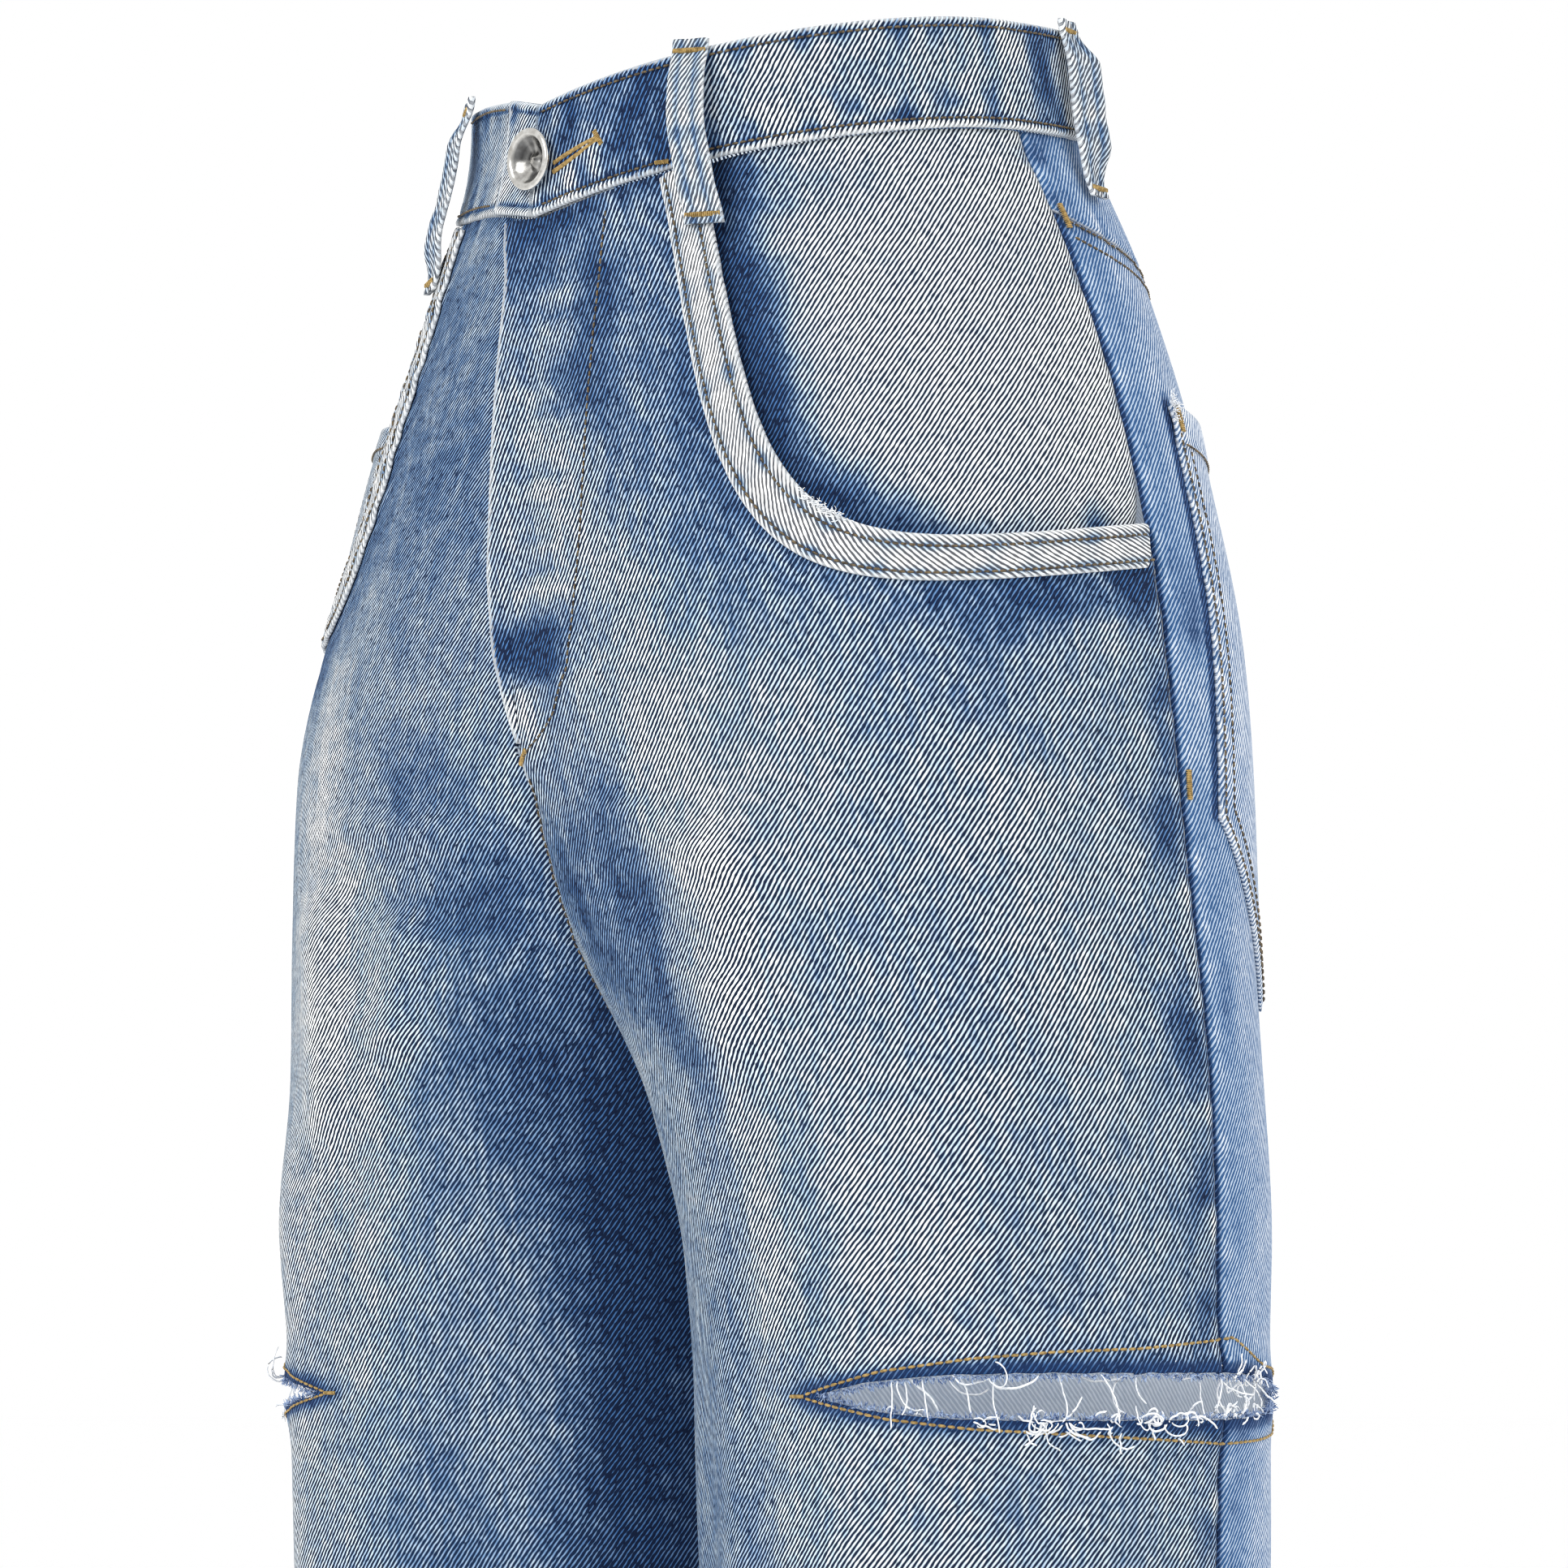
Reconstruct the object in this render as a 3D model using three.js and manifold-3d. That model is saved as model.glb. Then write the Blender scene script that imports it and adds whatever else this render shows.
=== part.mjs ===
// High-waisted wide-leg jeans, slashed across both thighs, in the hollow form they take when worn.
// Millimetres. +Z is up, the front faces -Y and the wearer's left is +X. The origin is the middle
// of the waist opening, level with the top of the waistband at the back quarter.
import * as THREE from 'three';
import { mergeVertices } from 'three/addons/utils/BufferGeometryUtils.js';
import Module from 'manifold-3d';

const wasm = await Module();
wasm.setup();

// ---- driving dimensions ----
const LENGTH = 1060;          // outside leg, from the origin to the hem
const CLOTH = 1.5;            // thickness of one wall of denim
const SEAM_GAP = 0.3;         // clearance between neighbouring pieces
const BAND_HEIGHT = 38;       // waistband
const BAND_THICK = 3;
const BAND_TOP_SIDE = -6;     // top edge of the waistband at the side seam
const BAND_FRONT_DIP = 26;    // how far it falls from there to the centre front
const BAND_BACK_RISE = 14;    // how far it rises to the centre back
const CROTCH = -366;
const FLY_BOTTOM = -252;
const FLY_LAP = 12;           // the left front laps this far past the centre
const FLY_WIDTH = 33;         // centre to the J-shaped stitching
const SCOOP_ANGLE = 61;       // scoop pocket: front edge, in degrees round from the side
const SCOOP_BOTTOM = -189;
const SCOOP_RISE = 9;         // how much its lower edge rises to the side seam
const SCOOP_BAND = 13;        // width of the band round it
const YOKE_SIDE = 28;         // yoke below the waistband, at the side seam
const YOKE_BACK = 66;         // and at the centre back
const SLASH_HEIGHT = -457;    // middle of the slash across each leg
const SLASH_GAPE = 15;        // how far it stands open
const SLASH_MIDDLE = -16;     // its middle and its reach to each tip, in degrees round the leg
const SLASH_REACH = 62;
const LOOP_WIDTH = 12;
const LOOP_THICK = 1.8;
const LOOP_STAND_OFF = 8.4;    // inside face of a belt loop above the panel's surface
const BUTTON_RADIUS = 10.5;

// Sections of one half of the garment, top to bottom. Each half is a rounded tube: above the
// crotch the middle plane cuts it, below the crotch it closes into a leg.
// height, side (x of the widest point), centre (x of the tube's centre), front depth, back depth,
// roundness (2 is an ellipse, more is squarer)
const SECTIONS = [
  [10, 107, 0, 103, 94, 2.0],
  [-38, 117, 0, 105, 94, 2.0],
  [-83, 141, 6, 109, 93, 2.1],
  [-143, 167, 18, 115, 91, 2.2],
  [-219, 186, 42, 118, 90, 2.3],
  [-303, 193, 74, 113, 86, 2.2],
  [CROTCH, 197, 97, 106, 83, 2.1],
  [-413, 199, 104, 102, 82, 2.1],
  [-458, 199, 104, 98, 81, 2.1],
  [-600, 196, 104, 94, 81, 2.1],
  [-760, 198, 104, 95, 82, 2.1],
  [-LENGTH, 204, 106, 99, 84, 2.1],
];

// Soft folds of each half: start and end [degrees round from the side seam, height], the width of
// the fold (degrees if it runs down the leg, millimetres if it runs across) and how far it stands
// out, or in when negative. Folds that reach the hem stay open there.
const FOLDS = [
  [[-74, -262], [-90, -366], 9, 5],
  [[-66, -330], [-73, -560], 12, 4],
  [[-122, -380], [-112, -900], 14, -5],
  [[-28, -520], [-20, -LENGTH], 15, 5],
  [[-68, -700], [-62, -LENGTH], 13, 5],
  [[60, -480], [66, -LENGTH], 15, 6],
  [[112, -560], [118, -LENGTH], 15, 5],
  [[40, -330], [120, -372], 12, -5],
];
const RIGHT_FOLD_SHIFT = [3, -16];  // the right half's folds, in degrees and millimetres

const COLUMNS = 12;           // facets round one panel
const TORSO_ROWS = 10;
const LEG_ROWS = 9;
const LEVEL_BELOW = -170;     // rows follow the waistband's slope above this, and are level below
const ARC_PER_DEGREE = 2.1;   // millimetres of cloth to a degree round the hip
const CUT_DEPTH = 28;         // how far a cutter reaches to each side of the cloth
const JOIN = 0.1;             // overlap of two bodies that are joined into one

const RAD = Math.PI / 180;
const FRONT = -1;
const BACK = 1;
const LEFT = 1;
const RIGHT = -1;

const clamp01 = (x) => Math.min(1, Math.max(0, x));
const lerp = (a, b, t) => a + (b - a) * t;
const ease = (t) => clamp01(t) ** 2 * (3 - 2 * clamp01(t));

// ---- the form ----

// Smooth curve through one column of SECTIONS, with no overshoot between them.
function sectionCurve(column) {
  const knots = SECTIONS.map((row) => [row[0], row[column]]).reverse();
  const slopes = knots.slice(1).map(([z, value], i) => (value - knots[i][1]) / (z - knots[i][0]));
  const tangents = knots.map((knot, i) => {
    if (i === 0) return slopes[0];
    if (i === slopes.length) return slopes[i - 1];
    const [below, above] = [slopes[i - 1], slopes[i]];
    return below * above <= 0 ? 0 : (2 * below * above) / (below + above);
  });
  return (z) => {
    let i = 0;
    while (i < slopes.length - 1 && z > knots[i + 1][0]) i += 1;
    const step = knots[i + 1][0] - knots[i][0];
    const t = clamp01((z - knots[i][0]) / step);
    const rise = t * t * (3 - 2 * t);
    return knots[i][1] * (1 - rise) + knots[i + 1][1] * rise
      + step * (tangents[i] * (t - 1) ** 2 * t + tangents[i + 1] * (t - 1) * t * t);
  };
}

const [sideAt, centreAt, frontAt, backAt, roundnessAt] = [1, 2, 3, 4, 5].map(sectionCurve);

// How far the folds push the cloth out at an angle and a height.
function foldAt(half, angle, z) {
  const [turn, drop] = half === RIGHT ? RIGHT_FOLD_SHIFT : [0, 0];
  let out = 0;
  for (const [[fromAngle, from], [toAngle, to], width, depth] of FOLDS) {
    const [a, height] = [angle - turn, z - drop];
    if (Math.abs(from - to) < Math.abs(fromAngle - toAngle)) {
      const across = (height - lerp(from, to, (a - fromAngle) / (toAngle - fromAngle))) / width;
      const inside = (a - fromAngle) * (a - toAngle) < 0 ? 1 : 0;
      out += depth * inside * Math.exp(-across * across);
    } else {
      const along = clamp01((from - height) / (from - to));
      const across = (a - lerp(fromAngle, toAngle, along)) / width;
      const closing = to <= -LENGTH ? ease(2 * along) : ease(2 - Math.abs(4 * along - 2));
      out += depth * closing * Math.exp(-across * across);
    }
  }
  return out;
}

// A point of one half: angle in degrees from the side seam, negative in front, 180 at the inseam.
// out moves it off the cloth's face.
function formPoint(half, angle, z, out) {
  const c = Math.cos(angle * RAD);
  const s = Math.sin(angle * RAD);
  const power = 2 / roundnessAt(z);
  const far = out + foldAt(half, angle, z);
  const width = sideAt(z) - centreAt(z) + far;
  const depth = (s < 0 ? frontAt(z) : backAt(z)) + far;
  return [
    half * (centreAt(z) + width * Math.sign(c) * Math.abs(c) ** power),
    depth * Math.sign(s) * Math.abs(s) ** power,
    z,
  ];
}

// The angle at which a half meets the middle plane, or the inseam below the crotch.
function middleAngle(facing, z, out, gap) {
  const depth = facing === FRONT ? frontAt(z) : backAt(z);
  const roundness = roundnessAt(z);
  const width = sideAt(z) - centreAt(z) + out;
  const reach = Math.min(1, (centreAt(z) - gap / 2) / width);
  const cut = 180 - Math.acos(Math.sign(reach) * Math.abs(reach) ** (roundness / 2)) / RAD;
  const inseam = 180 - Math.asin((SEAM_GAP / 2 / depth) ** (roundness / 2)) / RAD;
  return facing * Math.min(cut, inseam);
}

// The side seam runs a little behind the side below the hip.
function sideAngle(facing, z) {
  const seam = 10 * ease((-200 - z) / 200) + (facing * SEAM_GAP) / 2;
  const depth = seam < 0 ? frontAt(z) : backAt(z);
  return Math.sign(seam) * Math.asin((Math.abs(seam) / depth) ** (roundnessAt(z) / 2)) / RAD;
}

// Top edge of the waistband at an angle.
function bandTop(angle) {
  const round = Math.min(1, Math.abs(angle) / 90) ** 1.5;
  return BAND_TOP_SIDE + round * (angle < 0 ? -BAND_FRONT_DIP : BAND_BACK_RISE);
}

// ---- solids ----

// Closed solid between two grids: point(u, v, layer) with layer 0 inside and 1 outside.
function slab(point, columns, rows) {
  const positions = [];
  const index = [];
  const stride = rows + 1;
  const at = (layer, i, j) => (layer * (columns + 1) + i) * stride + j;
  for (const layer of [0, 1]) {
    for (let i = 0; i <= columns; i += 1) {
      for (let j = 0; j <= rows; j += 1) positions.push(...point(i / columns, j / rows, layer));
    }
  }
  const quad = (a, b, c, d) => index.push(a, b, c, a, c, d);
  for (let i = 0; i < columns; i += 1) {
    for (let j = 0; j < rows; j += 1) {
      quad(at(1, i, j), at(1, i + 1, j), at(1, i + 1, j + 1), at(1, i, j + 1));
      quad(at(0, i, j), at(0, i, j + 1), at(0, i + 1, j + 1), at(0, i + 1, j));
    }
    quad(at(0, i, 0), at(0, i + 1, 0), at(1, i + 1, 0), at(1, i, 0));
    quad(at(1, i, rows), at(1, i + 1, rows), at(0, i + 1, rows), at(0, i, rows));
  }
  for (let j = 0; j < rows; j += 1) {
    quad(at(1, 0, j), at(1, 0, j + 1), at(0, 0, j + 1), at(0, 0, j));
    quad(at(0, columns, j), at(0, columns, j + 1), at(1, columns, j + 1), at(1, columns, j));
  }
  return solid(positions, index);
}

// A Manifold from points and triangles, turned so that its faces point out.
function solid(positions, index) {
  const corner = new THREE.Vector3();
  const [b, c] = [new THREE.Vector3(), new THREE.Vector3()];
  let volume = 0;
  for (let i = 0; i < index.length; i += 3) {
    corner.fromArray(positions, index[i] * 3);
    b.fromArray(positions, index[i + 1] * 3);
    c.fromArray(positions, index[i + 2] * 3);
    volume += corner.dot(b.cross(c));
  }
  const triVerts = new Uint32Array(volume < 0 ? index.slice().reverse() : index);
  const vertProperties = new Float32Array(positions);
  return new wasm.Manifold(new wasm.Mesh({ numProp: 3, vertProperties, triVerts }));
}

function solidFromGeometry(geometry) {
  const bare = geometry.clone();
  bare.deleteAttribute('normal');
  bare.deleteAttribute('uv');
  const merged = mergeVertices(bare, 1e-4);
  return solid(Array.from(merged.attributes.position.array), Array.from(merged.index.array));
}

// Heights of the rows of a panel, closer in the torso than in the leg.
function rowHeight(v) {
  const row = v * (TORSO_ROWS + LEG_ROWS);
  const seam = BAND_TOP_SIDE - BAND_HEIGHT;
  if (row <= TORSO_ROWS) return lerp(seam, CROTCH, row / TORSO_ROWS);
  return lerp(CROTCH, -LENGTH, (row - TORSO_ROWS) / LEG_ROWS);
}

// One wall of cloth from the waistband seam to the hem: inner and outer give its two faces.
function panel(half, facing, inner, outer, gap = SEAM_GAP) {
  return slab((u, v, layer) => {
    const out = layer ? outer : inner;
    const level = rowHeight(v);
    const guess = lerp(middleAngle(facing, level, out, gap), sideAngle(facing, level), u);
    const seam = bandTop(guess) - BAND_HEIGHT - SEAM_GAP;
    const z = level + (seam - rowHeight(0)) * ease((level - LEVEL_BELOW) / (rowHeight(0) - LEVEL_BELOW));
    const angle = lerp(middleAngle(facing, z, out, gap), sideAngle(facing, z), u);
    return formPoint(half, angle, z, out);
  }, COLUMNS, TORSO_ROWS + LEG_ROWS);
}

// A cutter that reaches through the cloth over a patch given by place(u, v) = [angle, height].
function patch(half, place, columns, rows) {
  const reach = [-CUT_DEPTH, CUT_DEPTH];
  return slab((u, v, layer) => formPoint(half, ...place(u, v), reach[layer]), columns, rows);
}

// A prism along Y with its outline in the XZ plane.
function prismAlongY(outline, near, far) {
  const shape = new THREE.Shape(outline.map(([x, z]) => new THREE.Vector2(x, z)));
  const geometry = new THREE.ExtrudeGeometry(shape, { depth: far - near, bevelEnabled: false });
  geometry.rotateX(Math.PI / 2);
  geometry.translate(0, far, 0);
  return solidFromGeometry(geometry);
}

// ---- patches of the form ----

// The scoop of a front pocket, grown by some millimetres: a fan from the top of the side seam.
function scoop(half, grow) {
  const corner = [12, 40];
  const degrees = grow / ARC_PER_DEGREE;
  return patch(half, (u, v) => {
    const turn = u * 90 * RAD;
    const angle = 14 - (SCOOP_ANGLE + 14 + degrees) * Math.cos(turn) ** 0.25;
    const rise = SCOOP_RISE * clamp01(1 + angle / 50) ** 2;
    const z = 30 - (30 - SCOOP_BOTTOM + grow) * Math.sin(turn) ** 0.25 + rise;
    return [lerp(angle, corner[0], v * 0.97), lerp(z, corner[1], v * 0.97)];
  }, 16, 1);
}

// The region above the yoke seam, moved down by drop.
function aboveYoke(half, drop) {
  return patch(half, (u, v) => {
    const angle = lerp(-4, 130, u);
    const depth = lerp(YOKE_SIDE, YOKE_BACK, clamp01(angle / 92) ** 0.8) + drop;
    return [angle, lerp(bandTop(angle) - BAND_HEIGHT - depth, 60, v)];
  }, 8, 1);
}

// The slash across a leg: a lens from the front of the thigh round to behind the side seam.
function slash(half) {
  return patch(half, (u, v) => {
    const t = 2 * u - 1;
    const gape = Math.max(0.3, (SLASH_GAPE / 2) * (1 - t ** 4));
    return [SLASH_MIDDLE + SLASH_REACH * t, SLASH_HEIGHT + lerp(-gape, gape, v)];
  }, 14, 1);
}

// A pointed back pocket.
function backPocket(half) {
  return patch(half, (u, v) => {
    const angle = lerp(lerp(14, 76, u), lerp(10.5, 74, u), v);
    const top = lerp(-136, -150, u);
    const bottom = -273 - 60 * (1 - Math.abs(2 * u - 1));
    return [angle, lerp(top, bottom, v)];
  }, 4, 2);
}

// Half-plane outline of the left front's lap, or of everything left of it, in X and Z.
const FLY_EDGE = [
  [-FLY_LAP - 4, 40], [-FLY_LAP - 4, -66], [-FLY_LAP, -90], [-FLY_LAP, -188],
  [-FLY_LAP * 0.8, -215], [-FLY_LAP * 0.3, -240], [0, FLY_BOTTOM],
];

function flyLap(spare) {
  const edge = FLY_EDGE.map(([x, z]) => [x - spare, z]);
  return prismAlongY([...edge, [60, FLY_BOTTOM], [60, 40]], -160, -60);
}

// ---- pieces ----

const DENIM = { color: 0x7d9bc2, roughness: 0.92, metalness: 0 };
const PALE_DENIM = { color: 0xb4bfcb, roughness: 0.92, metalness: 0 };
const NICKEL = { color: 0xc9c8c2, roughness: 0.25, metalness: 1 };

const jeans = new THREE.Group();

function addPiece(name, body, finish) {
  const { vertProperties, triVerts, numProp } = body.getMesh();
  const positions = new Float32Array((vertProperties.length / numProp) * 3);
  for (let i = 0; i < positions.length / 3; i += 1) {
    positions.set(vertProperties.subarray(i * numProp, i * numProp + 3), i * 3);
  }
  const geometry = new THREE.BufferGeometry();
  geometry.setAttribute('position', new THREE.BufferAttribute(positions, 3));
  geometry.setIndex(Array.from(triVerts));
  geometry.computeVertexNormals();
  const mesh = new THREE.Mesh(geometry, new THREE.MeshStandardMaterial(finish));
  mesh.name = name;
  jeans.add(mesh);
}

// Faces of the layers, measured off the outside of the panels.
const PANEL = [-CLOTH, 0];
const ON_TOP = [SEAM_GAP, SEAM_GAP + CLOTH];
const BEHIND = [-2 * CLOTH - SEAM_GAP, -CLOTH - SEAM_GAP];

const halves = [[LEFT, 'left'], [RIGHT, 'right']];

// A slice of the front between two x positions, from z0 down to z1.
const slice = (x0, x1, z0, z1) => prismAlongY([[x0, z0], [x1, z0], [x1, z1], [x0, z1]], -160, 40);

// The left front takes the lap, which is cut from the right half and joined at the middle plane.
const lap = panel(RIGHT, FRONT, ...PANEL, -2 * JOIN).intersect(flyLap(0))
  .subtract(slice(JOIN, 60, 60, -300));
const leftFront = panel(LEFT, FRONT, ...PANEL, -JOIN)
  .subtract(slice(-JOIN, SEAM_GAP / 2, FLY_BOTTOM, -LENGTH));
const rightFront = panel(RIGHT, FRONT, ...PANEL);
const frontBodies = [leftFront.add(lap), rightFront.subtract(flyLap(SEAM_GAP))];

halves.forEach(([half, side], i) => {
  const front = frontBodies[i].subtract(scoop(half, 0)).subtract(slash(half));
  addPiece(`front_${side}`, front, DENIM);
  const backCloth = panel(half, BACK, ...PANEL);
  addPiece(`back_${side}`, backCloth.subtract(aboveYoke(half, SEAM_GAP)).subtract(slash(half)), DENIM);
  addPiece(`yoke_${side}`, backCloth.intersect(aboveYoke(half, 0)), DENIM);
  const facing = panel(half, FRONT, ...BEHIND).intersect(scoop(half, SCOOP_BAND - 1));
  addPiece(`pocket_facing_${side}`, facing, PALE_DENIM);
  const band = panel(half, FRONT, ...ON_TOP).intersect(scoop(half, SCOOP_BAND));
  addPiece(`pocket_band_${side}`, band.subtract(scoop(half, 0)), PALE_DENIM);
  const pocket = panel(half, BACK, ...ON_TOP).intersect(backPocket(half));
  addPiece(`back_pocket_${side}`, pocket, DENIM);
});

// Coin pocket: a small patch on the right facing, its side edges square to the hem.
const coinPatch = patch(RIGHT, (u, v) => [lerp(-66, -36, u), lerp(-124, -200, v)], 4, 2);
addPiece('coin_pocket', panel(RIGHT, FRONT, ...PANEL).intersect(coinPatch)
  .intersect(scoop(RIGHT, -SEAM_GAP)), DENIM);

// Fly facing: behind both fronts, from just past the lap to the J-shaped stitching.
const jOutline = new THREE.Path();
jOutline.moveTo(FLY_WIDTH, 20);
jOutline.lineTo(FLY_WIDTH, -190);
jOutline.quadraticCurveTo(FLY_WIDTH - 3, -232, -2, FLY_BOTTOM + 4);
jOutline.lineTo(-FLY_LAP - 8, -226);
jOutline.lineTo(-FLY_LAP - 12, 20);
const flyShape = prismAlongY(jOutline.getPoints(5).map((p) => [p.x, p.y]), -160, -60);
const flyCloth = halves.map(([half]) => panel(half, FRONT, ...BEHIND, -0.1).intersect(flyShape));
addPiece('fly_facing', flyCloth[0].add(flyCloth[1]), DENIM);

// Waistband: from the lapping end round the left, the back and the right to the underlap.
const LAP = 0.052;            // share of a half that the lapping end covers
const UNDERLAP = 0.075;
const HALF_COLUMNS = 14;
const bandStops = [[RIGHT, LAP, 0], [RIGHT, LAP / 2, 0]];
for (let i = 0; i <= HALF_COLUMNS; i += 1) bandStops.push([LEFT, i / HALF_COLUMNS, 0]);
for (let i = HALF_COLUMNS - 1; i >= 3; i -= 1) bandStops.push([RIGHT, i / HALF_COLUMNS, 0]);
bandStops.push([RIGHT, 0.14, 0.3], [RIGHT, 0.1, 0.85], [RIGHT, 0.07, 1], [RIGHT, 0.03, 1]);
bandStops.push([LEFT, 0, 1], [LEFT, UNDERLAP, 1]);

const bandRing = slab((u, v, layer) => {
  const [half, share, tuck] = bandStops[Math.round(u * (bandStops.length - 1))];
  const out = lerp(-BAND_THICK / 2, BAND_THICK / 2, layer) - tuck * (BAND_THICK + 0.6);
  const top = bandTop(lerp(-90, 90, share));
  const z = top - v * BAND_HEIGHT;
  const angle = lerp(middleAngle(FRONT, z, 0, 0), middleAngle(BACK, z, 0, 0), share);
  return formPoint(half, angle, z, out);
}, bandStops.length - 1, 1);

// Waist button, on the underlap, through a keyhole in the lapping end.
const BUTTON_HEIGHT = bandTop(-90) - BAND_HEIGHT / 2;
const FACE_Y = -frontAt(BUTTON_HEIGHT) - BAND_THICK / 2;
const SHANK_RADIUS = 3.2;
const KEYHOLE_END = 24;
const KEYHOLE_SLOPE = 0.35;
const KEYHOLE_SLIT = 0.8;     // half the width of the slit
const keyhole = new THREE.Path();
keyhole.absarc(0, BUTTON_HEIGHT, SHANK_RADIUS + 1, 35 * RAD, 325 * RAD);
keyhole.lineTo(KEYHOLE_END, BUTTON_HEIGHT + KEYHOLE_END * KEYHOLE_SLOPE - KEYHOLE_SLIT);
keyhole.lineTo(KEYHOLE_END, BUTTON_HEIGHT + KEYHOLE_END * KEYHOLE_SLOPE + KEYHOLE_SLIT);
const keyholeCut = prismAlongY(keyhole.getPoints(12).map((p) => [p.x, p.y]),
  FACE_Y - BAND_THICK, FACE_Y + BAND_THICK + JOIN);
addPiece('waistband', bandRing.subtract(keyholeCut), DENIM);

// Profile from the centre of the dished face round the rim to the end of the shank:
// [radius, distance out from the band].
const buttonProfile = [
  [0, 3.6], [1.6, 3.5], [2.6, 2.6], [4.6, 2.1], [7.4, 2.9], [9.4, 4.2], [BUTTON_RADIUS - 0.2, 4.4],
  [BUTTON_RADIUS, 3.9], [BUTTON_RADIUS - 0.6, 3.1], [8.4, 1.8], [6.2, 1.2], [SHANK_RADIUS, 1.0],
  [SHANK_RADIUS, -3.1], [0, -3.1],
];
const buttonGeometry = new THREE.LatheGeometry(
  buttonProfile.map(([radius, out]) => new THREE.Vector2(radius, out)), 18,
);
buttonGeometry.rotateX(Math.PI);
buttonGeometry.translate(0, FACE_Y, BUTTON_HEIGHT);
addPiece('waist_button', solidFromGeometry(buttonGeometry), NICKEL);

// Belt loops: each a strip that leaves the cloth below the band, stands off it and is caught at
// the top edge. Stops are [height below the top edge, inside face off the cloth].
const LOOP_STOPS = [
  [-3, 2.2], [3, 2.8], [9, LOOP_STAND_OFF], [20, LOOP_STAND_OFF + 0.6], [34, LOOP_STAND_OFF + 0.6],
  [44, LOOP_STAND_OFF], [51, 3.2], [60, 2.2],
];

function beltLoop(half, centreAngle, lean) {
  return slab((u, v, layer) => {
    const [drop, out] = LOOP_STOPS[Math.round(v * (LOOP_STOPS.length - 1))];
    const z = bandTop(centreAngle) - drop;
    const width = (LOOP_WIDTH / 108) / RAD;
    const angle = centreAngle + lean * (drop / 60) + (u - 0.5) * width;
    return formPoint(half, angle, z, out + layer * LOOP_THICK);
  }, 2, LOOP_STOPS.length - 1);
}

for (const [half, side] of halves) {
  addPiece(`belt_loop_front_${side}`, beltLoop(half, -59, -2), DENIM);
  addPiece(`belt_loop_side_${side}`, beltLoop(half, 20, -5), DENIM);
}

// The back loop crosses the centre back, so it is made square to it.
const backLoop = slab((u, v, layer) => {
  const [drop, out] = LOOP_STOPS[Math.round(v * (LOOP_STOPS.length - 1))];
  const z = bandTop(90) - drop;
  return [lerp(-LOOP_WIDTH / 2, LOOP_WIDTH / 2, u), backAt(z) + out + layer * LOOP_THICK, z];
}, 2, LOOP_STOPS.length - 1);
addPiece('belt_loop_back', backLoop, DENIM);

export default jeans;
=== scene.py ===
"""High-waisted, wide-legged jeans of stone-washed denim, slashed across both thighs, in the hollow
form they take when worn. Lengths in the formulas are millimetres, angles are degrees. +Z is up, the
front faces -Y and the wearer's left is +X."""

import math

import bpy
import numpy as np
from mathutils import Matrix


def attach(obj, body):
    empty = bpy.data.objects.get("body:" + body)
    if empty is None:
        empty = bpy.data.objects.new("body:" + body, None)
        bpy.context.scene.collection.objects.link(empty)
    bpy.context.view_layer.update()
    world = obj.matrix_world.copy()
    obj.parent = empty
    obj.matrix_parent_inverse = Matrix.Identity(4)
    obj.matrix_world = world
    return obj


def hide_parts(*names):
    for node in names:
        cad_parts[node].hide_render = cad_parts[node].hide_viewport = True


bl_info = {
    "name": "Ripped Jeans",
    "version": (1, 0, 0),
    "blender": (4, 5, 0),
    "location": "3D View > Sidebar > Jeans",
    "description": "Washed denim jeans with slashed thighs, built round their CAD frame",
    "category": "Object",
}

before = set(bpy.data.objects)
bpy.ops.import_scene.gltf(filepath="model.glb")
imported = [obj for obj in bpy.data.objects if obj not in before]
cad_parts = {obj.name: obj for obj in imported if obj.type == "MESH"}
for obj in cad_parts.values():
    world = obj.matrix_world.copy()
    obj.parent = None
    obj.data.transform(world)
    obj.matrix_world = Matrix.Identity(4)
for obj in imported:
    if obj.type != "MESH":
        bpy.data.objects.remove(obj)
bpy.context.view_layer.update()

LEFT, RIGHT = 1.0, -1.0
FRONT, BACK = -1.0, 1.0
SIDES = ((LEFT, "left"), (RIGHT, "right"))
MM = 0.001

# ---- sizes shared with the CAD model ----
LENGTH = 1060.0
SEAM_GAP = 0.3
BAND_HEIGHT = 38.0
BAND_TOP_SIDE = -6.0
BAND_FRONT_DIP = 26.0
BAND_BACK_RISE = 14.0
HIP_DROP = 6.0
FLY_BOTTOM = -252.0
SCOOP_ANGLE = 61.0
SCOOP_BOTTOM = -189.0
SCOOP_RISE = 9.0
SCOOP_BAND = 13.0
YOKE_SIDE = 28.0
YOKE_BACK = 66.0
SLASH_HEIGHT = -457.0
SLASH_GAPE = 15.0
SLASH_MIDDLE = -16.0
SLASH_REACH = 62.0
ARC_PER_DEGREE = 2.1
BAR_PER_DEGREE = 1.9

# height, side, centre, front depth, back depth, roundness of one half of the garment
SECTIONS = np.array([
    [-LENGTH, 204, 106, 99, 84, 2.1],
    [-760, 198, 104, 95, 82, 2.1],
    [-600, 196, 104, 94, 81, 2.1],
    [-458, 199, 104, 98, 81, 2.1],
    [-413, 199, 104, 102, 82, 2.1],
    [-366, 197, 97, 106, 83, 2.1],
    [-303, 193, 74, 113, 86, 2.2],
    [-219, 186, 42, 118, 90, 2.3],
    [-143, 167, 18, 115, 91, 2.2],
    [-83, 141, 6, 109, 93, 2.1],
    [-38, 117, 0, 105, 94, 2.0],
    [10, 107, 0, 103, 94, 2.0],
])

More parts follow.
